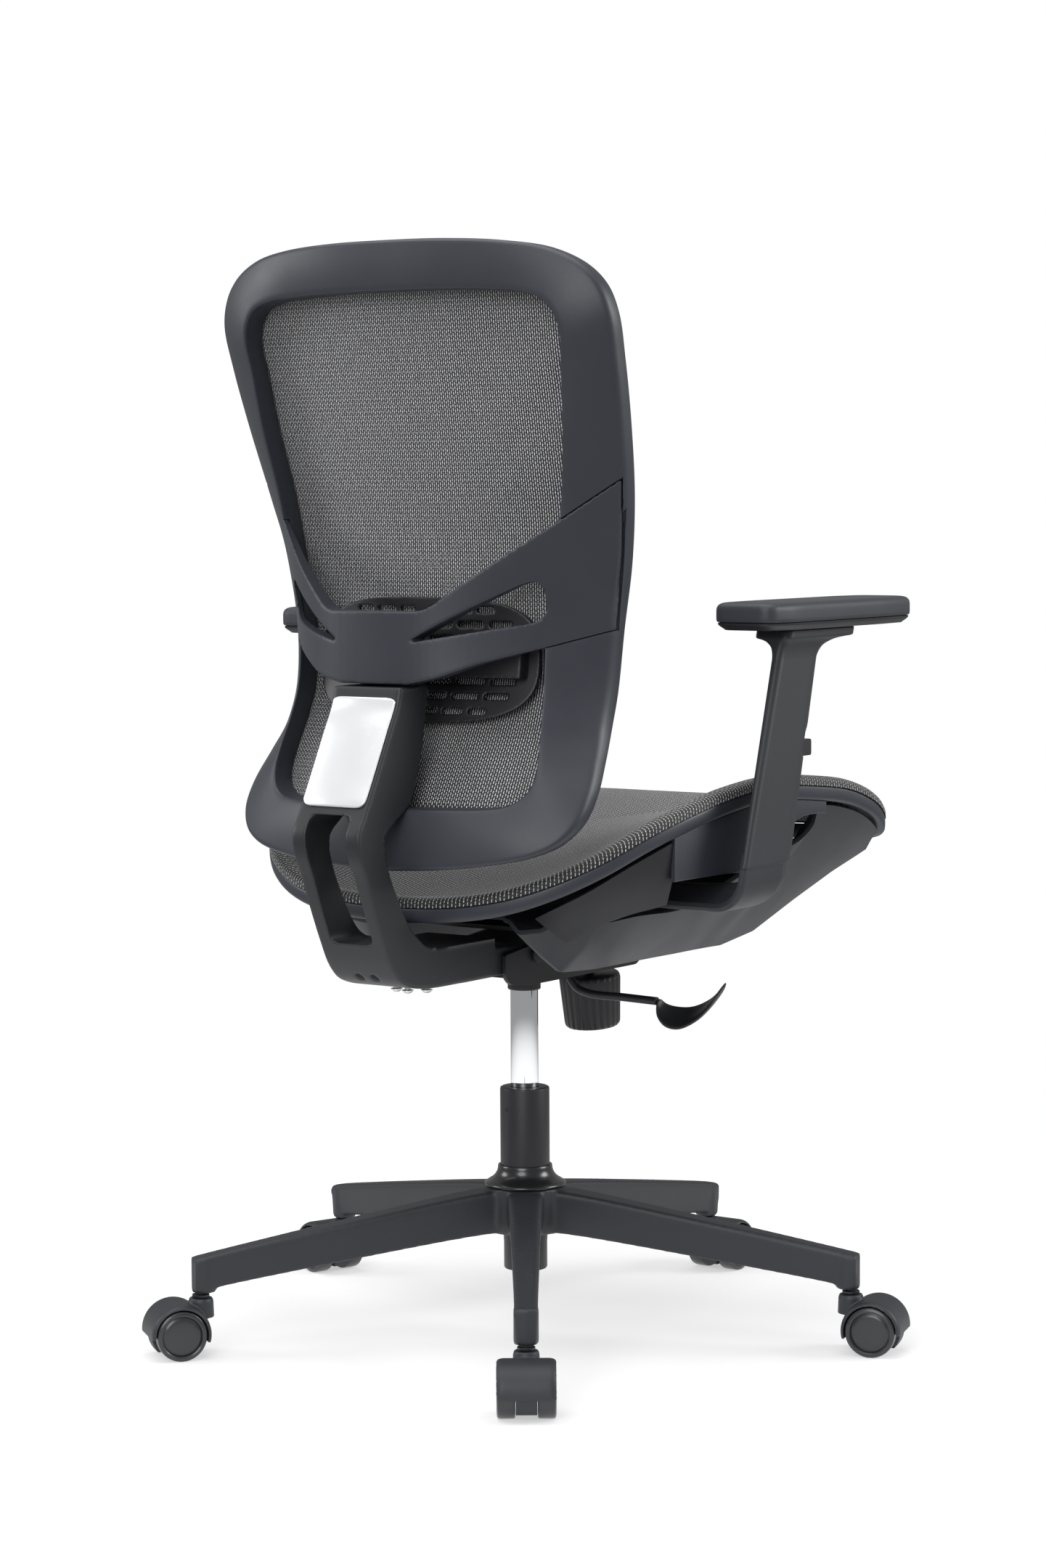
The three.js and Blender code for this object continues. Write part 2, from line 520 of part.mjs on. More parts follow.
// Rear surface of the net at a given place, taken from the centre profile and the ring's inner edge.
function netDepth(x, z) {
  const edgeX = smooth([[600, 154], [662, 147], [720, 148], [781, 158], [845, 168]], z);
  const edgeY = smooth([[600, 168], [662, 148], [720, 144], [781, 144.3], [845, 148]], z);
  return mix(smooth(NET_CENTRE, z), edgeY, Math.min(1, (x / edgeX) ** 2));
}
function lumbarSlab(near, far, half, low, high, columns, rows) {
  const sections = [];
  for (let c = 0; c <= columns; c++) {
    const x = mix(-half, half, c / columns);
    const line = Array.from({ length: rows + 1 }, (_, r) => mix(low, high, r / rows));
    sections.push([...line.map((z) => point(x, netDepth(x, z) + near, z)),
      ...line.reverse().map((z) => point(x, netDepth(x, z) + far, z))]);
  }
  return skin(sections);
}
function buildLumbar() {
  const { half, low, high, gap, thick } = LUMBAR;
  const middle = (low + high) / 2;
  const rise = (high - low) / 2;
  const oval = Array.from({ length: 24 }, (_, k) => {
    const a = k * Math.PI / 12;
    const reach = (v) => Math.sign(v) * Math.abs(v) ** 0.62;
    return new THREE.Vector2(half * reach(Math.cos(a)), middle + rise * reach(Math.sin(a)));
  });
  const slots = [];
  const slot = (x0, x1, z) => box(x0, x1, 100, 300, z - 3, z + 3);
  for (const sign of [-1, 1]) {
    [20, 34, 48].forEach((step, k) => {
      const z = middle + sign * step;
      const reach = [110, 104, 84][k];
      const edges = [6, reach * 0.36, reach * 0.7, reach];
      for (let e = 0; e < 3; e++) {
        slots.push(slot(edges[e] + 3, edges[e + 1] - 3, z), slot(-edges[e + 1] + 3, -edges[e] - 3, z));
      }
    });
  }
  const blank = lumbarSlab(gap, gap + thick, half + 5, low - 5, high + 5, 6, 4);
  place('lumbar_pad', cut(common(blank, prismY(oval, 100, 300)), ...slots), DARK);
  const beam = lumbarSlab(gap + thick + 1.8, gap + thick + 15, 120, 673, 702, 8, 2);
  const block = box(-34, 34, 176, 214.5, 676, 699);
  place('lumbar_carrier', join(beam, block), DARK);
}

// ---- spine ----
// Rear (outer) and front (inner) edges of the bar in pairs of [y, z], from the top down and then forward.
const SPINE_PAIRS = [[257, 666.5, 214, 666.5], [261, 650, 216, 650], [273, 627, 220, 633], [296, 583, 230, 588],
  [314, 550, 245, 556], [324, 530, 270, 539], [322, 512, 285, 525], [312, 490, 281, 501], [298, 456, 265, 468],
  [284, 425, 248, 441], [272, 402, 232, 426], [258, 387, 219, 418], [239, 379.5, 205, 415.5],
  [215, 376, 188, 415], [160, 375, 158, 415], [107, 375, 107, 415]];
const SPINE_REAR = new THREE.CatmullRomCurve3(SPINE_PAIRS.map(([y, z]) => point(0, y, z)));
const SPINE_FRONT = new THREE.CatmullRomCurve3(SPINE_PAIRS.map(([, , y, z]) => point(0, y, z)));
function buildSpine() {
  const steps = (SPINE_PAIRS.length - 1) * 2;
  const sections = [];
  for (let i = 0; i <= steps; i++) {
    const rear = SPINE_REAR.getPoint(i / steps);
    const front = SPINE_FRONT.getPoint(i / steps);
    const depth = rear.distanceTo(front);
    const outline = rounded([[-SPINE.half, 0], [SPINE.half, 0], [SPINE.half, depth], [-SPINE.half, depth]]
      .map(([a, b], k) => [a, b, k < 2 ? SPINE.corner : 5]), 1);
    sections.push(outline.map((p) => {
      const q = rear.clone().lerp(front, p.y / depth);
      q.x = p.x;
      return q;
    }));
  }
  const bar = skin(sections);
  const handle = prismY(rounded([[-25, 424], [25, 424], [23.5, 549], [-23.5, 549]]
    .map(([a, b]) => [a, b, 9])), 232, 350);
  const tongue = prismX(rounded([[110, 376, 0], [110, 405, 0], [48, 401, 10], [30, 397, 5], [31, 382, 6],
    [60, 377, 4]], 3), -HOUSING.half + HOUSING.wall + 1, HOUSING.half - HOUSING.wall - 1);
  const eye = pin('x', RECLINE.pin + 0.25, -60, 60, RECLINE.y, RECLINE.z);
  const neck = prismX([[215, 658], [234, 658], [225, 665], [225, 735], [215, 735]]
    .map(([a, b]) => new THREE.Vector2(a, b)), -30, 30);
  const screwHoles = SCREWS.map(([x, y]) => pin('z', 3.4, 370, 388, x, y));
  const whole = solid(join(bar, tongue, neck)).subtract(solid(handle)).subtract(solid(eye));
  place('spine', shaped(screwHoles.reduce((sum, hole) => sum.subtract(solid(hole)), whole)), SHELL);
  buildPlate();
  SCREWS.forEach(([x, y], i) => {
    const z = 375;
    place(`spine_screw_${i + 1}`, turned([[0, z - 5], [3, z - 4.4], [5.2, z - 2.6], [5.8, z - 1.4],
      [3, z - 1.4], [3, z + 10], [0, z + 10]], 12).translate(x, y, 0), SILVER);
  });
}
const SCREWS = [[0, 214], [-17, 219], [-30, 206]];

function buildPlate() {
  const steps = 10;
  const from = 1.0 / (SPINE_PAIRS.length - 1);
  const to = 3.78 / (SPINE_PAIRS.length - 1);
  const sections = [];
  for (let i = 0; i <= steps; i++) {
    const t = mix(from, to, i / steps);
    const p = SPINE_REAR.getPoint(t);
    const tangent = SPINE_REAR.getTangent(t);
    const out = point(0, -tangent.z, tangent.y);
    if (out.y < 0) out.negate();
    const ends = Math.min(i, steps - i);
    const half = 33.5 - (ends === 0 ? 3 : 0);
    sections.push([[-half, 0.8], [half, 0.8], [half, 2], [half - 0.8, 2.6], [-half + 0.8, 2.6], [-half, 2]]
      .map(([x, lift]) => p.clone().addScaledVector(out, lift).setX(x)));
  }
  place('spine_plate', skin(sections), SILVER);
}

// ---- seat ----
// The rim's outline from the rear centre round one side, with the height of its upper edge.
const RIM_EDGE = [[0, 226, 455], [70, 224, 458], [125, 211, 467], [168, 189, 482], [203, 156, 502],
  [228, 112, 525], [243, 55, 543], [249, -10, 555], [251, -80, 560], [254, -150, 556], [259, -215, 547],
  [261, -262, 530], [250, -296, 511], [222, -314, 503], [160, -323, 500], [80, -327, 498], [0, -328, 497]];
const rimEdge = ringCurve(RIM_EDGE);
const RIM_STATIONS = (RIM_EDGE.length - 1) * 2;
// A point at a rim station, moved inwards in plan and upwards.
function rimPoint(station, inward, up) {
  const t = ((station / RIM_STATIONS) % 1 + 1) % 1;
  const p = rimEdge.getPoint(t);
  const along = rimEdge.getTangent(t);
  const inside = point(-along.y, along.x, 0).normalize();
  if (inside.dot(point(-p.x, -50 - p.y, 0)) < 0) inside.negate();
  return p.addScaledVector(inside, inward).add(point(0, 0, up));
}
function buildRim() {
  const section = [[0.5, -1], [2.5, 0], [RIM.width, 0], [RIM.width - 2, -RIM.height], [4, -RIM.height],
    [1, -RIM.height + 4]];
  const sections = [];
  for (let i = 0; i < RIM_STATIONS * RIM.steps; i++) {
    const s = i / RIM.steps;
    sections.push(section.map(([a, b]) => rimPoint(s, a, b)));
  }
  place('seat_rim', skin(sections, true), SHELL);
}
const SEAT_CENTRE = [[200, 455], [150, 466], [100, 477], [50, 488], [0, 499], [-50, 509], [-100, 518],
  [-150, 526], [-200, 532], [-250, 533], [-280, 521], [-304, 500]];
const SEAT_MIDDLE = -50;
function seatPoint(station, f) {
  const edge = rimPoint(station, RIM.width + 6, 3);
  const y = mix(SEAT_MIDDLE, edge.y, f);
  const rise = edge.z - smooth(SEAT_CENTRE, edge.y);
  return point(edge.x * f, y, smooth(SEAT_CENTRE, y) + rise * f ** 2.2);
}
function buildSeatMesh() {
  const count = RIM_STATIONS * RIM.steps;
  const field = sheet((i, f) => (f <= 1 ? seatPoint(i / RIM.steps, f)
    : rimPoint(i / RIM.steps, RIM.width - 1, RIM.roll - 2)), count, [2, 1, 0.55],
  point(0, SEAT_MIDDLE, smooth(SEAT_CENTRE, SEAT_MIDDLE)), point(0, 0, -4));
  const roll = [[0, 2.6], [0, 5], [4, 8], [RIM.width - 6, RIM.roll], [RIM.width, RIM.roll - 1.5],
    [RIM.width, 2.6]];
  const sections = [];
  for (let i = 0; i < count; i++) sections.push(roll.map(([a, b]) => rimPoint(i / RIM.steps, a, b)));
  place('seat_mesh', join(skin(sections, true), field), NETTING);
}

// Under-seat shell: a web over the mechanism and a skirt down each side, flaring out to the rim at the front.
// Each row: y, web height, skirt foot x and z, top edge x and z.
const SHELL_ROWS = [
  [140, 437, 92, 424, 138, 436], [118, 437, 104, 400, 150, 434], [98, 436, 110, 384, 158, 434],
  [40, 436, 110, 381, 162, 436], [-60, 438, 110, 381, 164, 437], [-100, 440, 111, 381, 184, 458],
  [-135, 442, 113, 381.5, 206, 480], [-160, 444, 116, 382, 226, 496],
  [-180, 445, 118, 382, 238, 527], [-225, 450, 130, 393, 250, 520],
  [-258, 458, 160, 425, 252, 504], [-282, 468, 192, 454, 245, 491.5], [-300, 480, 211, 470, 229, 482.5]];
const SHELL_WALL = 4.5;
function shellSection([y, web, footX, footZ, topX, topZ]) {
  const bend = [mix(footX, topX, 0.5) + 3, mix(footZ, topZ, 0.5) - 3];
  const half = [[0, web], [74, web], [footX - 12, mix(web, footZ, 0.25)], [footX - 3, footZ + 1],
    [footX + 3, footZ], bend, [topX, topZ]];
  const line = half.map(([x, z]) => new THREE.Vector2(x, z));
  const inner = line.map((p, i) => {
    const before = line[Math.max(0, i - 1)];
    const after = line[Math.min(line.length - 1, i + 1)];
    const along = after.clone().sub(before).normalize();
    const up = new THREE.Vector2(-along.y, along.x);
    return i === 0 ? p.clone().setY(p.y + SHELL_WALL) : p.clone().addScaledVector(up, SHELL_WALL);
  });
  const loop = [...line.slice(1).reverse().map((p) => [-p.x, p.y]), ...line.map((p) => [p.x, p.y]),
    ...inner.slice().reverse().map((p) => [p.x, p.y]), ...inner.slice(1).map((p) => [-p.x, p.y])];
  return loop.map(([x, z]) => point(x, y, z));
}
function buildShell() {
  place('seat_shell', skin(SHELL_ROWS.map(shellSection)), SHELL);
}

// Rear wing: a curved panel from the shell's rear corner up to the rim.
const WING_LOW = [[146, 138, 419], [172, 126, 434], [197, 106, 446], [214, 84, 452], [219, 74, 454]];
const WING_HIGH = [[118, 150, 442], [176, 146, 470], [207, 122, 493], [227, 90, 509], [232, 74, 515]];
function buildWing(side) {
  const low = new THREE.CatmullRomCurve3(WING_LOW.map(([x, y, z]) => point(x, y, z)));
  const high = new THREE.CatmullRomCurve3(WING_HIGH.map(([x, y, z]) => point(x, y, z)));
  const sections = [];
  for (let i = 0; i <= 10; i++) {
    const a = low.getPoint(i / 10);
    const b = high.getPoint(i / 10);
    const across = b.clone().sub(a).normalize();
    const out = across.clone().cross(low.getTangent(i / 10)).normalize();
    if (out.x + out.y < 0) out.negate();
    const middle = a.clone().lerp(b, 0.5).addScaledVector(out, 2.5);
    const outer = [a, middle, b];
    const inner = outer.map((p) => p.clone().addScaledVector(out, -3.5)).reverse();
    sections.push([...outer, ...inner]);
  }
  const wing = skin(sections);
  place(side < 0 ? 'seat_wing_right' : 'seat_wing_left', side < 0 ? mirrored(wing) : wing, DARK);
}

// Side panel hanging under the rim, beside the arm post: how deep it is at each rim station.
const PANEL_DEPTH = [[5.8, 42], [6.45, 54], [7.3, 62], [7.9, 58], [8.4, 28], [8.8, 16], [9.35, 12]];
function buildSidePanel(side) {
  const first = PANEL_DEPTH[0][0];
  const last = PANEL_DEPTH.at(-1)[0];
  const top = -RIM.height - GAP;
  const sections = [];
  for (let k = 0; k <= 14; k++) {
    const s = mix(first, last, k / 14);
    const drop = smooth(PANEL_DEPTH, s);
    sections.push([[5, top], [10, top], [10, top - drop], [5, top - drop]].map(([a, b]) => rimPoint(s, a, b)));
  }
  const panel = skin(sections);
  place(side < 0 ? 'side_panel_right' : 'side_panel_left', side < 0 ? mirrored(panel) : panel, SHELL);
}

// ---- armrests ----
// The post is a leaning blade. Its sections are [outwards, forwards] from the centre line.
const POST = { low: 475, high: 675, sleeve: 30, y: -6.7, z: 487, thick: 1.3 };
const POST_LOW = [[11, -35], [11, 35.5], [7.5, 49], [1, 50], [-11, 24], [-11, -10], [4.5, -38], [8, -38]];
const POST_HIGH = [[11, -30], [11, 29.5], [8, 41], [1, 42], [-11, 18], [-11, -8], [1.5, -34], [7, -34]];
const POST_HEAD = [[19, -31], [19, 88], [13, 95], [-17, 95], [-24, 88], [-24, -29], [-18, -36], [13, -36]];
const BAR_ROOM = [[7.5, -12.5], [7.5, 22], [-6.5, 22], [-6.5, -12.5]];
const postY = (z) => POST.y - ARM.lean * (z - POST.z);
const postSection = (section, z) => section.map(([out, ahead]) => point(ARM.x + out, postY(z) - ahead, z));
const blend = (a, b, t) => a.map(([p, q], i) => [mix(p, b[i][0], t), mix(q, b[i][1], t)]);

// Moves every side of a section inwards by the same distance.
function inset(section, distance) {
  const n = section.length;
  const normal = (i) => {
    const [a, b] = section[i % n];
    const [c, d] = section[(i + 1) % n];
    return new THREE.Vector2(b - d, c - a).normalize();
  };
  return section.map(([a, b], i) => {
    const [before, after] = [normal(i + n - 1), normal(i)];
    const step = distance / (1 + before.dot(after));
    return [a + (before.x + after.x) * step, b + (before.y + after.y) * step];
  });
}

function buildArm(side) {
  const hand = side < 0 ? 'right' : 'left';
  const lift = side < 0 ? ARM.rightRaised : 0;
  const moving = new THREE.Group();
  moving.position.set(0, -ARM.lean * lift, lift);
  root.add(moving);
  const fit = (geometry) => (side < 0 ? mirrored(geometry) : geometry);

  // Bracket: from under the seat outwards and up into the sleeve.
  // Each station: centre x and z, thickness scale, length scale and centre y.
  const neckSection = inset(POST_LOW, POST.thick + GAP);
  const elbowPath = [[120, 452, 1.2, 0.55, -16], [170, 453, 1.25, 0.6, -16], [215, 454, 1.3, 0.7, -14],
    [246, 456.5, 1.35, 0.82, -8], [264, 464, 1.2, 0.94, -2], [271, 474, 1, 1, postY(474)]];
  const elbow = elbowPath.map(([x, z, thick, long, y], i) => {
    const next = elbowPath[Math.min(i + 1, elbowPath.length - 1)];
    const last = elbowPath[Math.max(i - 1, 0)];
    const along = new THREE.Vector2(next[0] - last[0], next[1] - last[1]).normalize();
    if (i === elbowPath.length - 1) along.set(0, 1);
    return neckSection.map(([out, ahead]) =>
      point(x + along.y * out * thick, y - ahead * long, z - along.x * out * thick));
  });
  const neckTop = POST.low + POST.sleeve - 4;
  place(`arm_bracket_${hand}`, fit(skin([...elbow, postSection(neckSection, neckTop)])), NYLON);
  const bar = inset(BAR_ROOM, 0.4);
  place(`arm_bar_${hand}`, fit(skin([neckTop + GAP, neckTop + 150].map((z) => postSection(bar, z)))), STEEL);

  // Post: a sleeve over the bar, flaring into the head plate.
  const flare = [[0, 0], [7, 0.07], [12, 0.2], [16, 0.45], [18.4, 0.8]];
  const outside = [postSection(POST_LOW, POST.low), postSection(POST_LOW, POST.low + POST.sleeve),
    ...flare.map(([rise, t]) => postSection(blend(POST_HIGH, POST_HEAD, t), POST.high + rise)),
    postSection(POST_HEAD, POST.high + 19.5), postSection(POST_HEAD, POST.high + 28)];
  const sleeve = inset(POST_LOW, POST.thick);
  const neckRoom = [POST.low - 3, POST.low + POST.sleeve - 1].map((z) => postSection(sleeve, z));
  const barRoom = [POST.low, POST.high - 10].map((z) => postSection(BAR_ROOM, z));
  const button = { z: 586, x: ARM.x + 1, halfX: 7, halfZ: 8.2, reach: 12 };
  const frontY = postY(button.z) - 45;
  const scoop = pin('x', 33, ARM.x - 30, ARM.x + 30, frontY - 29, button.z, 28);
  const seatHole = box(button.x - button.halfX - GAP, button.x + button.halfX + GAP, frontY - 4, frontY + 12,
    button.z - button.halfZ - GAP, button.z + button.halfZ + GAP);
  const post = cut(skin(outside), skin(neckRoom), skin(barRoom), scoop, seatHole);
  place(`arm_post_${hand}`, fit(post), NYLON, moving);
  const keyLow = button.z - button.halfZ;
  const keyHigh = button.z + button.halfZ;
  const keyFront = frontY - button.reach;
  const keySide = rounded([[keyFront, keyLow, 3], [frontY + 7, keyLow, 0], [frontY + 7, keyHigh, 0],
    [keyFront, keyHigh, 3]], 2);
  const key = prismX(keySide, button.x - button.halfX, button.x + button.halfX);
  place(`arm_button_${hand}`, fit(key), DARK, moving);

  // Pad: a hard tray under a soft top.
  const padMiddle = -124.5;
  const padOutline = (shrink) => rounded([[-34, 13], [30, 13.5], [39, -20], [39, -200], [34, -262], [-30, -262],
    [-39, -226], [-39, -30]].map(([a, b]) =>
    [a - Math.sign(a) * shrink, b + Math.sign(padMiddle - b) * shrink, 12]), 3);
  const layer = (rows) => skin(rows.map(([z, shrink]) =>
    padOutline(shrink).map((p) => point(ARM.pad + p.x, p.y + ARM.lean * ARM.rightRaised, z))));
  const bottom = POST.high + 28 + GAP;
  place(`pad_tray_${hand}`, fit(layer([[bottom, 6], [bottom + 4, 2], [bottom + 7.5, 1]])), DARK, moving);
  const soft = bottom + 7.5 + GAP;
  const crown = [[soft, 0.6], [soft + 3, 0], [soft + 13, 0], [soft + 17, 2], [soft + 19, 6]];
  place(`arm_pad_${hand}`, fit(layer(crown)), SOFT, moving);
}

buildBase();
buildColumn();
for (let i = 0; i < BASE.legs; i++) buildCaster(i);
buildMechanism();
buildKnob();
buildLever();
buildBack();
buildLumbar();
buildSpine();
buildRim();
buildSeatMesh();
buildShell();
for (const side of [-1, 1]) {
  buildWing(side);
  buildSidePanel(side);
  buildArm(side);
}

export default root;
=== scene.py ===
"""Swivel office chair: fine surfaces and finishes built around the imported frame.

The chair faces -Y and stands on z = 0. Shapes are worked out in millimetres from the gas lift's axis.
"""

import math

import bmesh
import bpy
import numpy as np
from mathutils import Matrix, Vector


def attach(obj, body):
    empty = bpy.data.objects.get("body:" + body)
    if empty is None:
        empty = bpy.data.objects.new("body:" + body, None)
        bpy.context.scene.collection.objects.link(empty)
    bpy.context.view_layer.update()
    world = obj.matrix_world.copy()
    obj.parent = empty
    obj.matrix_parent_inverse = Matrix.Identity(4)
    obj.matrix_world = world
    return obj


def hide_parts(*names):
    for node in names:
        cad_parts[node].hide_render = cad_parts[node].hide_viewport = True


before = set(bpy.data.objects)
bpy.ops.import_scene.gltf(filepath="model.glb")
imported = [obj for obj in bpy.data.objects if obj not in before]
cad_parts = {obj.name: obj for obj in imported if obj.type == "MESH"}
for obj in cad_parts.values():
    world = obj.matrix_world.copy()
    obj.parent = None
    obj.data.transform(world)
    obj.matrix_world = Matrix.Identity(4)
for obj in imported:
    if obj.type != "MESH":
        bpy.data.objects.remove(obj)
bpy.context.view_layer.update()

MM = 0.001
# The gas lift's axis in the frame, mm.
LIFT_AXIS = np.array([1.6, 27.8, 0.0])
# Directions of the five legs, and how far out the caster sockets are.
LEGS = [math.radians(125 + 72 * i) for i in range(5)]
SOCKET_R = 338.0
RIGHT_ARM_RAISED = 12.0
# How far an arm post moves forward for each millimetre that it rises.
LEAN = 0.2975
# The camera: millimetres from the gas lift's axis and above the floor, radians, and the focal length as a
# share of the picture's longer side.
CAMERA_AZIMUTH = math.radians(35)
CAMERA_DISTANCE = 3730.2
CAMERA_HEIGHT = 857.9
CAMERA_PITCH = 0.0807
CAMERA_ROLL = -0.0057
CAMERA_LENS = 5123.86 / 2160
SENSOR = 36
# Soft boxes: place, width and power.
LAMPS = (("top", (0.2, 0.5, 3.4), 4.2, 105), ("right", (-2.6, -1.7, 1.7), 1.6, 60),
         ("left", (2.9, 1.6, 1.6), 1.4, 32), ("behind", (-1.4, 3.8, 2.0), 2.4, 78))


# ---- camera, floor and light ----
def make_camera():
    side = Vector((-math.cos(CAMERA_AZIMUTH), -math.sin(CAMERA_AZIMUTH), 0))
    ahead = Vector((math.sin(CAMERA_AZIMUTH), -math.cos(CAMERA_AZIMUTH), 0))
    up = ahead * math.sin(CAMERA_PITCH) + Vector((0, 0, math.cos(CAMERA_PITCH)))
    look = ahead * math.cos(CAMERA_PITCH) - Vector((0, 0, math.sin(CAMERA_PITCH)))
    right = side * math.cos(CAMERA_ROLL) + up * math.sin(CAMERA_ROLL)
    top = up * math.cos(CAMERA_ROLL) - side * math.sin(CAMERA_ROLL)
    place = (Vector(LIFT_AXIS) - ahead * CAMERA_DISTANCE + Vector((0, 0, CAMERA_HEIGHT))) * MM
    camera = bpy.data.objects.new("camera", bpy.data.cameras.new("camera"))
    bpy.context.scene.collection.objects.link(camera)
    camera.matrix_world = Matrix.Translation(place) @ Matrix((right, top, -look)).transposed().to_4x4()
    camera.data.sensor_width = SENSOR
    camera.data.lens = CAMERA_LENS * SENSOR
    camera.data.clip_end = 100
    bpy.context.scene.camera = camera


def nodes_of(material):
    material.use_nodes = True
    tree = material.node_tree
    tree.nodes.clear()
    return tree


def wire(tree, kind, settings=None, **inputs):
    """Adds a shader node. An input is a value or another node's socket."""
    node = tree.nodes.new(kind)
    for name, value in (settings or {}).items():
        setattr(node, name, value)
    for name, value in inputs.items():
        key = int(name[1:]) if name[0] == "_" else name.replace("_", " ")
        socket = node.inputs[key]
        if isinstance(value, bpy.types.NodeSocket):
            tree.links.new(value, socket)
        else:
            socket.default_value = value
    return node


def maths(tree, operation, a, b=0.0):
    return wire(tree, "ShaderNodeMath", {"operation": operation}, _0=a, _1=b).outputs[0]


def ramp(tree, value, low, high, start=0.0, end=1.0):
    """Value from low to high, turned into start to end."""
    node = wire(tree, "ShaderNodeMapRange", Value=value, From_Min=low, From_Max=high, To_Min=start,
                To_Max=end)
    return node.outputs[0]


def make_stage():
    reach = 30
    floor_mesh = bpy.data.meshes.new("floor")
    corners = [(-reach, -reach, 0), (reach, -reach, 0), (reach, reach, 0), (-reach, reach, 0)]
    floor_mesh.from_pydata(corners, [], [(0, 1, 2, 3)])
    floor = bpy.data.objects.new("floor", floor_mesh)
    bpy.context.scene.collection.objects.link(floor)
    paper = bpy.data.materials.new("floor_paint")
    tree = nodes_of(paper)
    place = wire(tree, "ShaderNodeTexCoord").outputs["Object"]
    far = wire(tree, "ShaderNodeVectorMath", {"operation": "LENGTH"}, _0=place).outputs["Value"]
    fade = wire(tree, "ShaderNodeMapRange", {"interpolation_type": "SMOOTHSTEP"}, Value=far, From_Min=0.5,
                From_Max=1.6).outputs[0]
    paint = wire(tree, "ShaderNodeBsdfDiffuse", Color=(0.5, 0.5, 0.5, 1))
    glow = wire(tree, "ShaderNodeEmission", Color=(1, 1, 1, 1), Strength=0.5)
    lit = wire(tree, "ShaderNodeAddShader", _0=paint.outputs[0], _1=glow.outputs[0])
    clear = wire(tree, "ShaderNodeBsdfTransparent")
    mixed = wire(tree, "ShaderNodeMixShader", Fac=fade, _1=lit.outputs[0], _2=clear.outputs[0])
    wire(tree, "ShaderNodeOutputMaterial", Surface=mixed.outputs[0])
    floor_mesh.materials.append(paper)

    # A white backdrop that lights the chair only dimly; the soft boxes do the rest.
    world = bpy.data.worlds.new("studio")
    bpy.context.scene.world = world
    tree = nodes_of(world)
    seen = wire(tree, "ShaderNodeLightPath").outputs["Is Camera Ray"]
    strength = ramp(tree, seen, 0.0, 1.0, 0.34, 1.0)
    sky = wire(tree, "ShaderNodeBackground", Color=(1, 1, 1, 1), Strength=strength)
    wire(tree, "ShaderNodeOutputWorld", Surface=sky.outputs[0])
    for name, place, size, power in LAMPS:
        lamp = bpy.data.lights.new(name, "AREA")
        lamp.shape = "DISK"
        lamp.size = size
        lamp.energy = power
        holder = bpy.data.objects.new(name, lamp)
        holder.location = place
        aim = Vector((0, 0.05, 0.55)) - holder.location
        holder.rotation_mode = "QUATERNION"
        holder.rotation_quaternion = aim.to_track_quat("-Z", "Y")
        holder.visible_camera = False
        bpy.context.scene.collection.objects.link(holder)
    bpy.context.scene.view_settings.view_transform = "Standard"


# ---- finishes ----
def plastic(name, color, roughness, grain=0.5, grain_size=1.1, coat=0.0, metallic=0.0, blotch=0.16, wear=0.5):
    """Moulded plastic or paint: fine grain, slow changes of tone and gloss, edges rubbed a little lighter."""
    material = bpy.data.materials.new(name)
    tree = nodes_of(material)
    place = wire(tree, "ShaderNodeTexCoord").outputs["Object"]
    fine = wire(tree, "ShaderNodeTexNoise", Vector=place, Scale=1000 / grain_size, Detail=2.0).outputs[0]
    slow = wire(tree, "ShaderNodeTexNoise", Vector=place, Scale=14.0, Detail=4.0, Roughness=0.6).outputs[0]
    edge = wire(tree, "ShaderNodeNewGeometry").outputs["Pointiness"]
    rubbed = ramp(tree, edge, 0.52, 0.62, 0.0, wear)
    tone = maths(tree, "MULTIPLY_ADD", slow, blotch)
    tone.node.inputs[2].default_value = 1 - blotch / 2
    tone = maths(tree, "ADD", tone, rubbed)
    shade = wire(tree, "ShaderNodeVectorMath", {"operation": "SCALE"}, _0=color, Scale=tone).outputs[0]
    gloss = ramp(tree, slow, 0.25, 0.75, roughness - 0.04, roughness + 0.05)
    speckle = maths(tree, "MULTIPLY_ADD", fine, 0.08)
    tree.links.new(gloss, speckle.node.inputs[2])
    bump = wire(tree, "ShaderNodeBump", Strength=grain, Distance=0.00012, Height=fine).outputs[0]
    surface = wire(tree, "ShaderNodeBsdfPrincipled", Base_Color=shade, Roughness=speckle, Metallic=metallic,
                   Coat_Weight=coat, Coat_Roughness=0.12, Normal=bump)
    wire(tree, "ShaderNodeOutputMaterial", Surface=surface.outputs[0])
    return material


def metal(name, color, roughness, streaks=0.0):
    """Plated or polished metal with faint drawing marks along Z."""
    material = bpy.data.materials.new(name)
    tree = nodes_of(material)
    place = wire(tree, "ShaderNodeTexCoord").outputs["Object"]
    drawn = wire(tree, "ShaderNodeMapping", Vector=place, Scale=(900.0, 900.0, 12.0)).outputs[0]
    marks = wire(tree, "ShaderNodeTexNoise", Vector=drawn, Scale=1.0, Detail=3.0).outputs[0]
    rough = ramp(tree, marks, 0.0, 1.0, roughness, roughness + 0.06)
    bump = wire(tree, "ShaderNodeBump", Strength=streaks, Distance=0.00005, Height=marks).outputs[0]
    surface = wire(tree, "ShaderNodeBsdfPrincipled", Base_Color=(*color, 1), Metallic=1.0, Roughness=rough,
                   Normal=bump)
    wire(tree, "ShaderNodeOutputMaterial", Surface=surface.outputs[0])
    return material


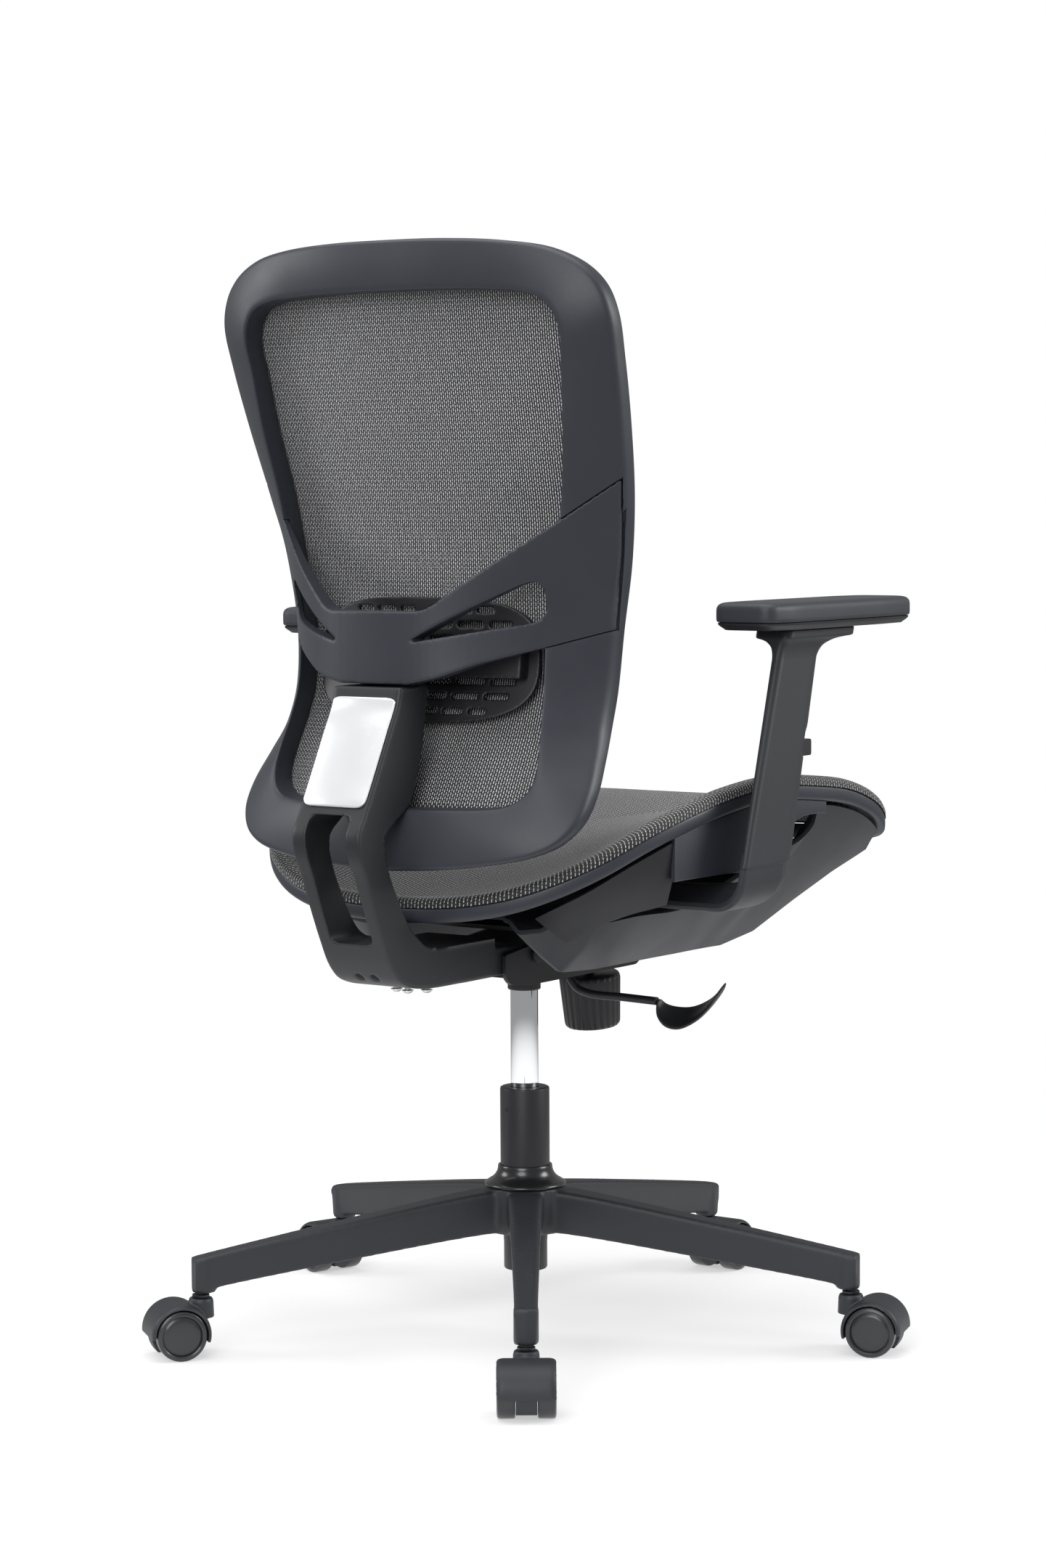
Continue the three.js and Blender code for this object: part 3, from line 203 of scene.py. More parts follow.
def netting(name, pitch, row, yarn, thread, holes, cover):
    """Woven net: dark threads with columns of light yarn dashes, and small gaps between the dashes.

    Pitch and row are the spacings of columns and dashes in metres, cover narrows the gap between columns, and
    holes is how clear the gaps are.
    """
    material = bpy.data.materials.new(name)
    tree = nodes_of(material)
    spot = wire(tree, "ShaderNodeUVMap", {"uv_map": "Weave"}).outputs[0]
    apart = wire(tree, "ShaderNodeSeparateXYZ", Vector=spot)
    wobble = wire(tree, "ShaderNodeTexNoise", Vector=spot, Scale=160.0, Detail=1.0).outputs[0]
    across = maths(tree, "DIVIDE", apart.outputs[0], pitch)
    across = maths(tree, "ADD", across, maths(tree, "MULTIPLY", wobble, 0.35))
    along = maths(tree, "DIVIDE", apart.outputs[1], row)
    odd = maths(tree, "MODULO", maths(tree, "FLOOR", maths(tree, "ADD", across, 1000.0)), 2.0)
    along = maths(tree, "ADD", along, maths(tree, "MULTIPLY", odd, 0.36))
    column = maths(tree, "PINGPONG", across, 0.5)
    dash = maths(tree, "PINGPONG", along, 0.5)
    in_column = ramp(tree, column, 0.45 - cover * 0.5, 0.55 - cover * 0.5)
    in_dash = ramp(tree, dash, 0.1, 0.2)
    light = maths(tree, "MULTIPLY", in_column, in_dash)
    patch = wire(tree, "ShaderNodeTexNoise", Vector=spot, Scale=700.0, Detail=2.0).outputs[0]
    light = maths(tree, "MULTIPLY", light, ramp(tree, patch, 0.3, 0.55, 0.25, 1.0))
    mix = wire(tree, "ShaderNodeMix", {"data_type": "RGBA"}, _0=light, _6=(*thread, 1), _7=(*yarn, 1))
    color = mix.outputs[2]
    relief = maths(tree, "ADD", light, maths(tree, "MULTIPLY", column, 0.8))
    bump = wire(tree, "ShaderNodeBump", Strength=0.6, Distance=0.0005, Height=relief).outputs[0]
    cloth = wire(tree, "ShaderNodeBsdfPrincipled", Base_Color=color, Roughness=0.62, Normal=bump)
    cloth.inputs["Sheen Weight"].default_value = 0.2
    gap_side = ramp(tree, dash, 0.06, 0.1, 1.0, 0.0)
    gap = maths(tree, "MULTIPLY", maths(tree, "MULTIPLY", in_column, gap_side), holes)
    clear = wire(tree, "ShaderNodeBsdfTransparent")
    mixed = wire(tree, "ShaderNodeMixShader", Fac=gap, _1=cloth.outputs[0], _2=clear.outputs[0])
    wire(tree, "ShaderNodeOutputMaterial", Surface=mixed.outputs[0])
    return material


make_camera()
make_stage()
SHELL = plastic("satin_shell", (0.0235, 0.027, 0.037), 0.42)
# The seat's under shell: the shell plastic made darker, as painted shade for a part that faces down.
SHELL_SHADED = plastic("under_shell", (0.018, 0.0195, 0.025), 0.46)
NYLON = plastic("satin_nylon", (0.017, 0.0185, 0.0235), 0.47, grain=0.8, grain_size=1.3)
DARK = plastic("dark_plastic", (0.009, 0.0093, 0.012), 0.4)
GLOSS = plastic("gloss_plastic", (0.010, 0.0105, 0.012), 0.24, grain=0.15, coat=0.25)
SPINE = plastic("spine_nylon", (0.0125, 0.0135, 0.017), 0.43, grain=0.7)
WHEEL = plastic("wheel_plastic", (0.016, 0.017, 0.020), 0.3, grain=0.25, coat=0.25)
STEEL = plastic("black_steel", (0.009, 0.0093, 0.012), 0.38, grain=0.35, grain_size=0.8)
SOFT = plastic("soft_pad", (0.024, 0.0265, 0.034), 0.48, grain=0.9, grain_size=1.6)
CHROME = metal("chrome", (0.86, 0.87, 0.89), 0.05)
SILVER = plastic("silver_trim", (0.80, 0.81, 0.83), 0.2, grain=0.1, coat=0.5, metallic=0.35, blotch=0.06,
                 wear=0.1)
SCREW = metal("screw_zinc", (0.72, 0.71, 0.70), 0.25, streaks=0.3)
BACK_NET = netting("back_netting", 0.0024, 0.0042, (0.74, 0.745, 0.77), (0.004, 0.004, 0.005), 0.1, 0.36)
SEAT_NET = netting("seat_netting", 0.0042, 0.0050, (0.62, 0.62, 0.63), (0.003, 0.003, 0.004), 0.03, 0.2)


# ---- shape helpers, in millimetres ----
def curve3(points, closed=False):
    """Centripetal Catmull-Rom curve through points; returns a function of t from 0 to 1."""
    pts = np.asarray(points, float)
    n = len(pts)

    def at(t):
        s = (t % 1.0 if closed else min(max(t, 0.0), 1.0)) * (n if closed else n - 1)
        i = int(math.floor(s))
        if not closed and i >= n - 1:
            i = n - 2
        w = s - i
        p1, p2 = pts[i % n], pts[(i + 1) % n]
        p0 = pts[(i - 1) % n] if closed or i > 0 else 2 * pts[0] - pts[1]
        p3 = pts[(i + 2) % n] if closed or i + 2 < n else 2 * pts[-1] - pts[-2]
        d0, d1, d2 = (max(np.linalg.norm(b - a), 1e-4) ** 0.5 for a, b in ((p0, p1), (p1, p2), (p2, p3)))
        t1 = ((p1 - p0) / d0 - (p2 - p0) / (d0 + d1) + (p2 - p1) / d1) * d1
        t2 = ((p2 - p1) / d1 - (p3 - p1) / (d1 + d2) + (p3 - p2) / d2) * d1
        return p1 + t1 * w + (-3 * p1 + 3 * p2 - 2 * t1 - t2) * w ** 2 + (2 * p1 - 2 * p2 + t1 + t2) * w ** 3

    return at


def table(pairs):
    """Smooth interpolation through [at, value] pairs."""
    pts = np.asarray(pairs, float)
    path = np.vstack([pts[0], pts, pts[-1]])
    line = []
    for i in range(len(pts) - 1):
        p0, p1, p2, p3 = path[i:i + 4]
        for w in np.linspace(0, 1, 24, endpoint=False):
            v0, v1 = (p2 - p0) / 2, (p3 - p1) / 2
            cubic = 2 * p1 - 2 * p2 + v0 + v1
            square = -3 * p1 + 3 * p2 - 2 * v0 - v1
            line.append(cubic * w ** 3 + square * w ** 2 + v0 * w + p1)
    line = np.array(line + [pts[-1]])
    if line[0, 0] > line[-1, 0]:
        line = line[::-1]
    return lambda at: float(np.interp(at, line[:, 0], line[:, 1]))


def mirror_ring(half):
    half = np.asarray(half, float)
    return curve3(np.vstack([half, half[-2:0:-1] * (-1, 1, 1)]), closed=True)


def rounded(corners, steps=5):
    """Closed outline with rounded corners: [a, b, radius]."""
    n = len(corners)
    out = []
    for i, (a, b, radius) in enumerate(corners):
        here = np.array([a, b], float)
        if radius == 0:
            out.append(here)
            continue
        ends = []
        for k in (i - 1, (i + 1) % n):
            way = np.array(corners[k][:2], float) - here
            ends.append(here + way / np.linalg.norm(way) * radius)
        for t in np.linspace(0, 1, steps + 1):
            out.append((1 - t) ** 2 * ends[0] + 2 * t * (1 - t) * here + t ** 2 * ends[1])
    return np.array(out)


def skin(sections, ring=False, cap=True):
    """Faces over a row of closed sections."""
    m, n = len(sections[0]), len(sections)
    faces = []
    for i in range(n if ring else n - 1):
        a, b = i * m, (i + 1) % n * m
        for j in range(m):
            k = (j + 1) % m
            faces.append((a + j, a + k, b + k, b + j))
    if cap and not ring:
        faces.append(tuple(range(m)))
        faces.append(tuple(range((n - 1) * m, n * m)))
    return np.vstack(sections), faces


def lathe(profile, sides=72):
    """[radius, z] pairs turned about Z. The profile starts and ends on the axis, or closes on itself."""
    closed = profile[0][0] > 0
    points, faces = [], []
    for r, z in profile:
        angles = np.arange(sides) * 2 * math.pi / sides
        points.append(np.c_[r * np.cos(angles), r * np.sin(angles), np.full(sides, z)])
    rows = len(points)
    for i in range(rows if closed else rows - 1):
        a, b = i * sides, (i + 1) % rows * sides
        for j in range(sides):
            k = (j + 1) % sides
            faces.append((a + j, a + k, b + k, b + j))
    return np.vstack(points), faces


def prism(outline, axis, low, high):
    """An outline pushed along an axis; its own two coordinates are the other two, in x, y, z order."""
    flat = np.asarray(outline, float)
    ends = [np.insert(flat, axis, level, axis=1) for level in (low, high)]
    return skin(ends)


def block(x0, x1, y0, y1, z0, z1):
    return prism([(x0, y0), (x1, y0), (x1, y1), (x0, y1)], 2, z0, z1)


def together(*parts):
    points, faces, base = [], [], 0
    for p, f in parts:
        points.append(np.asarray(p, float))
        faces += [tuple(i + base for i in face) for face in f]
        base += len(p)
    return np.vstack(points), faces


def flipped(part):
    return np.asarray(part[0]) * (-1, 1, 1), part[1]


def moved(part, offset):
    return np.asarray(part[0]) + np.asarray(offset), part[1]


def turned(part, angle, at=(0, 0)):
    p = np.asarray(part[0], float).copy()
    c, s = math.cos(angle), math.sin(angle)
    x, y = p[:, 0].copy(), p[:, 1].copy()
    p[:, 0], p[:, 1] = x * c - y * s + at[0], x * s + y * c + at[1]
    return p, part[1]


def make_object(name, part):
    points, faces = part
    mesh = bpy.data.meshes.new(name)
    mesh.from_pydata(((points + LIFT_AXIS) * MM).tolist(), [], faces)
    work = bmesh.new()
    work.from_mesh(mesh)
    bmesh.ops.remove_doubles(work, verts=work.verts, dist=1e-6)
    bmesh.ops.recalc_face_normals(work, faces=work.faces)
    work.to_mesh(mesh)
    work.free()
    obj = bpy.data.objects.new(name, mesh)
    bpy.context.scene.collection.objects.link(obj)
    return obj


def apply_modifiers(obj):
    graph = bpy.context.evaluated_depsgraph_get()
    mesh = bpy.data.meshes.new_from_object(obj.evaluated_get(graph))
    obj.modifiers.clear()
    obj.data = mesh


def taken(obj):
    """An object's points and faces, back in millimetres from the gas lift's axis. The object is removed."""
    points = np.array([v.co for v in obj.data.vertices]) / MM - LIFT_AXIS
    faces = [tuple(polygon.vertices) for polygon in obj.data.polygons]
    bpy.data.objects.remove(obj)
    return points, faces


def add_boolean(obj, operation, tool):
    step = obj.modifiers.new("carve", "BOOLEAN")
    step.operation, step.object, step.solver = operation, tool, "MANIFOLD"


def carve(obj, voxel, cut=(), keep=(), soften=4):
    """Fuses overlapping parts, cuts and keeps with tools, and softens every edge as a mould does."""
    def remesh():
        fuse = obj.modifiers.new("fuse", "REMESH")
        fuse.mode = "VOXEL"
        fuse.voxel_size = voxel * MM
        fuse.use_smooth_shade = True
    tools = []
    remesh()
    for parts, operation in ((keep, "INTERSECT"), (cut, "DIFFERENCE")):
        for part in parts:
            tool = make_object("tool", part)
            tools.append(tool)
            add_boolean(obj, operation, tool)
    if tools:
        remesh()
    round_off = obj.modifiers.new("soften", "SMOOTH")
    round_off.factor, round_off.iterations = 0.5, soften
    apply_modifiers(obj)
    for tool in tools:
        bpy.data.objects.remove(tool)
    return obj


def finish_piece(obj, material, body, slot, *nodes, crease=None):
    for polygon in obj.data.polygons:
        polygon.use_smooth = True
    obj.data.materials.clear()
    obj.data.materials.append(material)
    if crease:
        split = obj.modifiers.new("edges", "EDGE_SPLIT")
        split.split_angle = math.radians(crease)
    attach(obj, body)
    if nodes:
        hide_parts(*nodes)
    return obj


def weave_map(obj, coordinates):
    """Stores each point's place in the flat cloth, in metres."""
    layer = obj.data.uv_layers.new(name="Weave")
    for loop in obj.data.loops:
        layer.data[loop.index].uv = coordinates[loop.vertex_index]


def dress_cad(node, material, bevel=0.6):
    """A CAD node whose shape is right: softened edges and a proper finish."""
    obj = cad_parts[node]
    obj.data.materials.clear()
    obj.data.materials.append(material)
    weld = obj.modifiers.new("weld", "WELD")
    weld.merge_threshold = 1e-5
    if bevel:
        edge = obj.modifiers.new("bevel", "BEVEL")
        edge.width, edge.segments, edge.limit_method = bevel * MM, 2, "ANGLE"
        edge.angle_limit = math.radians(35)
        edge.harden_normals = True
    for polygon in obj.data.polygons:
        polygon.use_smooth = True
    normals = obj.modifiers.new("normals", "WEIGHTED_NORMAL")
    normals.keep_sharp = True


# ---- five-star base, column and casters ----
def around(part, angle, radius=0.0):
    return turned(part, angle, (radius * math.cos(angle), radius * math.sin(angle)))


def upright(radius, low, high, sides=64):
    return lathe([[0, low], [radius, low], [radius, high], [0, high]], sides)


def crossways(radius, low, high, y, z, sides=64):
    """A rod along X."""
    p, f = upright(radius, low, high, sides)
    return np.c_[p[:, 2], p[:, 0] + y, p[:, 1] + z], f


def lengthways(radius, low, high, x, z, sides=64):
    """A rod along Y."""
    p, f = upright(radius, low, high, sides)
    return np.c_[p[:, 0] + x, p[:, 2], p[:, 1] + z], f


def make_base():
    rows = [[18, 19, 104, 148], [60, 17, 101, 144], [200, 14, 84, 122], [318, 11.7, 68, 102.2],
            [345.3, 11.7, 62.9, 97.2]]
    line = curve3([[r, half, low] for r, half, low, _ in rows])
    tops = curve3([[r, half, high] for r, half, _, high in rows])
    sections = []
    for t in np.linspace(0, 1, 60):
        r, half, low = line(t)
        high = tops(t)[2]
        shape = rounded([[-half, high, 5], [half, high, 5], [half - 2, low, 2.5], [-half + 2, low, 2.5]])
        sections.append(np.c_[np.full(len(shape), r), shape])
    leg = skin(sections)
    foot = moved(upright(11.9, 62.8, 97), (SOCKET_R - 3, 0, 0))
    hub = lathe([[0, 101.7], [35, 101.7], [38, 106], [39.8, 112], [39.8, 149.4], [0, 149.4]])
    parts = [hub]
    for angle in LEGS:
        parts += [around(leg, angle), around(foot, angle)]
    bore = upright(25.6, 90, 170)
    star = carve(make_object("base_moulding", together(*parts)), 1.85, cut=[bore], soften=4)
    finish_piece(star, NYLON, "base", "satin_nylon", "base_star")

    cap = make_object("hub_cone", lathe([[25.4, 150], [41.2, 150], [41.4, 150.6], [40.9, 152.2], [37, 154.6],
                                         [33, 157.2], [30.4, 160], [28.5, 163.4], [27.7, 167], [27.5, 169.4],
                                         [27.1, 170], [25.4, 170]], 96))
    finish_piece(cap, GLOSS, "base", "gloss_plastic", "hub_cap", crease=50)
    tube = lathe([[0, 63.6], [21, 63.6], [22, 65], [22, 90], [25, 148], [25, 247.2], [24.6, 248.7],
                  [23.4, 249.4], [14.9, 249.4], [14.4, 248.8], [14.4, 72], [0, 72]], 96)
    dimples = [ball(2.1, (25.7 * math.sin(a), 25.7 * math.cos(a), 228)) for a in (0.2, 1.2)]
    column = make_object("column_casing", tube)
    tools = [make_object("tool", part) for part in dimples]
    for tool in tools:
        add_boolean(column, "DIFFERENCE", tool)
    apply_modifiers(column)
    for tool in tools:
        bpy.data.objects.remove(tool)
    finish_piece(column, STEEL, "base", "black_steel", "column_tube", crease=40)
    rod_line = [[0, 168], [13.4, 168], [14, 168.8], [14, 350], [13, 380], [0, 380]]
    rod = make_object("gas_piston", lathe(rod_line, 96))
    finish_piece(rod, CHROME, "lift", "chrome", "gas_rod", crease=40)


def ball(radius, at):
    profile = [[radius * math.sin(a), -radius * math.cos(a)] for a in np.linspace(0, math.pi, 12)]
    profile[0][0] = profile[-1][0] = 0
    return moved(lathe(profile, 20), at)


def arc(centre, radius, start, stop, steps):
    angles = np.radians(np.linspace(start, stop, steps + 1))
    return [(centre[0] + radius * math.cos(a), centre[1] + radius * math.sin(a)) for a in angles]


def make_casters():
    hub = (24.8, 25.0)
    sections = []
    for y in np.linspace(-27.8, 27.8, 61):
        past = max(0.0, (abs(y) - 20.8) / 7.0)
        outer = 30.2 - 3.4 * (1 - math.sqrt(max(0.0, 1 - past ** 2)))
        side = np.array(arc(hub, outer, -4, 196, 40) + arc(hub, 26.2, 196, -4, 40))
        sections.append(np.insert(side, 1, y, axis=1))
    fender = skin(sections)
    web = prism(arc(hub, 27.5, -40, 220, 48), 1, -10, 10)
    boss = lathe([[0, 38], [13, 38], [12.4, 54], [11.2, 57.3], [0, 57.3]])
    rooms = [lengthways(25.7, 10.1, 29, *hub), lengthways(25.7, -29, -10.1, *hub), upright(5.8, 46, 60),
             lengthways(4.5, -20, 20, *hub)]
    hood = carve(make_object("hood_master", together(fender, web, boss)), 0.75, cut=rooms, soften=3)
    hood = taken(hood)
    half = [[0, 27.2], [8, 27.1], [15, 26.8], [18.2, 26.2], [19, 25.4], [19.5, 25.3], [20.1, 26.8],
            [21.4, 27.6], [23.6, 27.2], [24.7, 26.2], [25, 24.6], [25, 12.4], [24.6, 11], [23.8, 10.4],
            [3.9, 10.4]]
    other = [[r, -z] for r, z in half[::-1]]
    wheels = lathe([list(p) for p in half + other], 96)
    p = wheels[0]
    wheels = np.c_[p[:, 0] + hub[0], p[:, 2], p[:, 1] + hub[1]], wheels[1]
    stem = lathe([[0, 46.6], [5.2, 46.6], [5.4, 47], [5.4, 58], [8.4, 58], [8.6, 58.3], [8.6, 60.4],
                  [8.2, 60.8], [5.4, 61.2], [5.4, 80.8], [4.8, 81.4], [0, 81.4]], 40)
    for i, angle in enumerate(LEGS):
        kinds = (("hood", hood, NYLON, "satin_nylon", f"caster_{i + 1}"),
                 ("wheels", wheels, WHEEL, "gloss_plastic", f"wheels_{i + 1}"),
                 ("stem", stem, STEEL, "black_steel", f"caster_{i + 1}"))
        for kind, part, material, slot, body in kinds:
            piece = make_object(f"castor_{kind}_{i + 1}", around(part, angle, SOCKET_R))
            crease = 35 if kind != "hood" else None
            finish_piece(piece, material, body, slot, f"caster_{kind}_{i + 1}", crease=crease)


# ---- mechanism, knob and lever ----
def make_mechanism():
    for node in ("mechanism_housing", "rod_collar", "recline_axle", "tilt_axle", "seat_plate"):
        dress_cad(node, DARK if node == "rod_collar" else STEEL)
    for hand in ("right", "left"):
        dress_cad(f"arm_bar_{hand}", STEEL, 0.4)

    # The knob's grip: height, radius and depth of its grooves.
    ribs, around_count = 24, 384
    angles = np.arange(around_count) * 2 * math.pi / around_count
    levels = ((-56, 12, 0), (-56, 24, 0), (-55.4, 26.4, 0.3), (-53.5, 28.2, 1.0), (-51, 28.9, 1.3),
              (-40, 29.6, 1.3), (-20, 30.9, 1.3), (-6, 31.8, 1.3), (-3, 31.4, 1.0), (-1, 30.2, 0.3),
              (-0.1, 28.6, 0), (-0.1, 8, 0))
    sections = []
    for z, radius, depth in levels:
        r = radius - depth * (0.5 - 0.5 * np.cos(angles * ribs)) ** 3
        sections.append(np.c_[r * np.cos(angles), r * np.sin(angles), np.full(around_count, z)])
    grip = together(skin(sections), upright(5, -4, 12.9))
    tip = math.radians(-6)
    p = grip[0]
    p = np.c_[p[:, 0], p[:, 1] * math.cos(tip) - p[:, 2] * math.sin(tip),
              p[:, 1] * math.sin(tip) + p[:, 2] * math.cos(tip)]
    knob = make_object("tension_grip", moved((p, grip[1]), (0, -118, 352)))
    finish_piece(knob, DARK, "knob", "dark_plastic", "tension_knob", crease=50)

    path = curve3([[-34.5, -30, 376], [-35.3, -30, 361], [-44, -30, 349.6], [-60, -30, 344.8],
                   [-100, -30, 344], [-140.4, -30, 343]])
    rows = [path(t) for t in np.linspace(0, 1, 60)]
    sections = []
    for i, here in enumerate(rows):
        way = rows[min(i + 1, len(rows) - 1)] - rows[max(i - 1, 0)]
        way = way / np.linalg.norm(way)
        up = np.array([-way[2], 0, way[0]])
        a = np.arange(24) * math.pi / 12
        sections.append(here + 4.1 * (np.outer(np.cos(a), (0, 1, 0)) + np.outer(np.sin(a), up)))
    lever = make_object("lever_wire", skin(sections))
    finish_piece(lever, STEEL, "lever", "black_steel", "lever_rod", crease=50)
    # The paddle sags in the middle, curls up at its end and leans to the rear.
    leaf = curve3([[140.6, 342, 7], [146, 334, 13], [157, 329, 20], [174, 329, 24], [194, 338, 24],
                   [209, 351, 22], [218.6, 363.6, 16]])
    tilt = math.radians(30)
    thick = table([[0, 6.2], [0.2, 5.4], [0.5, 4.6], [1, 3.8]])
    sections = []
    for t in np.linspace(0, 1, 50):
        x, z, half = leaf(t)
        squeeze = math.sin(min(1, max(0.04, min(t, 1 - t) * 9)) * math.pi / 2) ** 0.5
        a = np.arange(40) * math.pi / 20
        flat = np.sign(np.cos(a)) * np.abs(np.cos(a)) ** 0.7
        dish = 2.2 * (1 - flat ** 2) * math.sin(math.pi * t) * (np.sin(a) > 0)
        across = 0.72 * half * flat * squeeze
        height = z + thick(t) * np.sin(a) * squeeze - dish - across * math.sin(tilt)
        sections.append(np.c_[np.full(40, -x), -30 + across * math.cos(tilt), height])
    paddle = make_object("lever_leaf", skin(sections))
    finish_piece(paddle, DARK, "lever", "dark_plastic", "lever_paddle", crease=60)


# ---- back frame ----
# Rear edges of the ring from the top centre down one side: outer points, then inner points.
FRAME_OUTER = [[0, 226, 1088], [70, 225, 1087], [130, 217, 1083], [172, 206, 1075.5], [203, 197, 1060.5],
               [221, 190.5, 1041], [229.5, 185, 1015], [228.5, 173, 973], [223, 155, 915], [213, 134, 845],
               [200.5, 119.5, 781], [191, 118.5, 720], [187, 124, 660], [188, 136, 627], [195, 158, 595],
               [201, 181, 564], [199, 198, 540], [186, 213, 521], [160, 228, 508], [110, 244, 498.5],
               [55, 255, 493.5], [0, 258, 492]]
FRAME_INNER = [[0, 224, 1040], [62, 223, 1039.5], [115, 218, 1037.5], [150, 215, 1034.5], [171, 212, 1027],
               [182, 209, 1013], [186, 205, 995], [183, 199, 965], [178, 189.5, 912], [168, 177, 845],
               [158, 173.3, 781], [147.5, 173, 720], [146.5, 177, 662], [150, 186.5, 628], [154, 197, 600],
               [154.5, 205, 580], [148, 213.5, 565], [134, 222.5, 556], [112, 232, 553], [78, 243, 552],
               [40, 249.5, 551.5], [0, 252, 551.5]]
OUTER_EDGE = mirror_ring(FRAME_OUTER)
INNER_EDGE = mirror_ring(FRAME_INNER)
STATIONS = (len(FRAME_OUTER) - 1) * 2
FRAME_DEEP, FRAME_RIM, BULGE = 29, 18, 2.5


def across_ring(station, u):
    t = station / STATIONS
    return INNER_EDGE(t) * (1 - u) + OUTER_EDGE(t) * u


def rear_face(station, u):
    return across_ring(station, u) + (0, BULGE * 4 * u * (1 - u), 0)


def front_face(station, u, lift=0.0):
    return across_ring(station, u) - (0, FRAME_DEEP * (1 - u) + (FRAME_RIM + 1) * u + lift, 0)


def frame_ring():
    sections = []
    for s in np.arange(0, STATIONS, 1 / 8):
        inner, outer = rear_face(s, 0), rear_face(s, 1)
        # The edges are turned over in small steps so that they catch the light.
        row = [inner - (0, 5, 0), inner - (0, 2.6, 0)]
        row += [rear_face(s, u) - (0, drop, 0) for u, drop in ((0.012, 1.1), (0.03, 0.3))]
        row += [rear_face(s, u) for u in (0.05, 0.15, 0.3, 0.45, 0.6, 0.75, 0.88, 0.93)]
        row += [rear_face(s, u) - (0, drop, 0) for u, drop in ((0.955, 0.35), (0.975, 1.2), (0.99, 2.4))]
        row += [outer - (0, drop, 0) for drop in (4, 9, FRAME_RIM - 3.4)]
        row += [front_face(s, 0.985) + (0, 1.2, 0)]
        row += [front_face(s, u) for u in (0.93, 0.5, 0.06)]
        row += [front_face(s, 0.02) + (0, 1, 0), inner - (0, FRAME_DEEP - 2.5, 0), inner - (0, 15, 0)]
        sections.append(np.array(row))
    return skin(sections, ring=True)


def yoke_line(station, reach):
    edge = rear_face(station, 0)
    beyond = rear_face(station, 0.4)
    slope_end = (beyond[1] - edge[1]) / (beyond[0] - edge[0])
    points = [(x, 252 - 0.002 * x * x, edge[2]) for x in (0, 10, 20, 30)]
    start, span = 248.8, edge[0] - 40
    for t in np.linspace(0, 1, 15):
        y = ((2 * t ** 3 - 3 * t ** 2 + 1) * start + (t ** 3 - 2 * t ** 2 + t) * span * -0.16
             + (3 * t ** 2 - 2 * t ** 3) * edge[1] + (t ** 3 - t ** 2) * span * slope_end)
        points.append((40 + span * t, y, edge[2]))
    points += [rear_face(station, u) for u in np.linspace(0.06, reach, 14)]
    return np.array(points)


YOKE_THICK = table([[0, 24], [60, 22], [100, 17], [150, 12], [175, 9], [240, 8]])


def yoke_slab(reach, rear=0.0, front=0.0):
    grid = []
    for station in np.linspace(8.25, 12.5, 40):
        half = yoke_line(station, reach)
        grid.append(np.vstack([half[:0:-1] * (-1, 1, 1), half]))
    grid = np.array(grid)
    sections = []
    for column in range(grid.shape[1]):
        line = grid[:, column]
        depth = YOKE_THICK(abs(line[0][0]))
        sections.append(np.vstack([line + (0, rear, 0), (line - (0, depth + front, 0))[::-1]]))
    return skin(sections)


def yoke_outline(margin):
    right = [[40, 669 - margin, 0], [70, 675.5 - margin, 10], [100, 688 - margin, 10],
             [150, 704 - margin, 12], [240, 737 - margin, 0], [240, 882.6 + margin, 0],
             [58, 738 + margin, 12]]
    return rounded(right + [[-x, z, r] for x, z, r in right[::-1]])


def make_back():
    slab = yoke_slab(0.935, rear=0.3)
    windows = [prism(rounded([[s * 38, 707.5, 12], [s * 150, 772, 20], [s * 149, 728, 15]]), 1, 80, 300)
               for s in (1, -1)]
    yoke = carve(make_object("yoke_moulding", slab), 1.3, keep=[prism(yoke_outline(0), 1, 80, 300)],
                 cut=windows, soften=4)
    finish_piece(yoke, SHELL, "back", "satin_shell", "yoke")
    ring = make_object("frame_moulding", frame_ring())
    pocket = make_object("tool", yoke_slab(0.975, rear=12, front=1))
    outline = make_object("tool", prism(yoke_outline(0.9), 1, 80, 300))
    add_boolean(pocket, "INTERSECT", outline)
    apply_modifiers(pocket)
    add_boolean(ring, "DIFFERENCE", pocket)
    apply_modifiers(ring)
    for tool in (pocket, outline):
        bpy.data.objects.remove(tool)
    finish_piece(ring, SHELL, "back", "satin_shell", "back_frame", crease=38)


NET_CENTRE = table([[551, 223], [580, 208], [610, 191], [640, 176], [670, 165], [700, 160], [750, 158],
                    [810, 160], [870, 167], [930, 177], [990, 188], [1040, 195]])


def net_point(station, f):
    if f > 1:
        return front_face(station, 0.06 + 0.74 * (f - 1), 1.6)
    rim = front_face(station, 0.06, 1.6)
    z = 790 + (rim[2] - 790) * f
    return np.array([rim[0] * f, NET_CENTRE(z) - 1 + (rim[1] - NET_CENTRE(rim[2]) + 1) * f * f, z])


def net_sheet(name, at, rings, count, stations):
    """An open sheet of rings that close on a middle point."""
    points = [at(s, f) for f in rings for s in np.arange(count) * stations / count]
    points.append(at(0, 0))
    faces = []
    for r in range(len(rings) - 1):
        for i in range(count):
            k = (i + 1) % count
            faces.append((r * count + i, (r + 1) * count + i, (r + 1) * count + k, r * count + k))
    last = (len(rings) - 1) * count
    faces += [(last + i, len(points) - 1, last + (i + 1) % count) for i in range(count)]
    return make_object(name, (np.array(points), faces))


def make_back_net():
    rings = [2, 1.8, 1.6, 1.4, 1.2, 1.1] + list(np.linspace(1, 0.03, 34))
    net = net_sheet("back_net", net_point, rings, 320, STATIONS)
    run = np.cumsum([0] + [math.hypot(1, NET_CENTRE(z + 1) - NET_CENTRE(z)) for z in range(551, 1100)])
    weave_map(net, [(v.co.x, np.interp(v.co.z / MM, range(551, 1101), run) * MM) for v in net.data.vertices])
    finish_piece(net, BACK_NET, "back", "netting", "back_mesh")


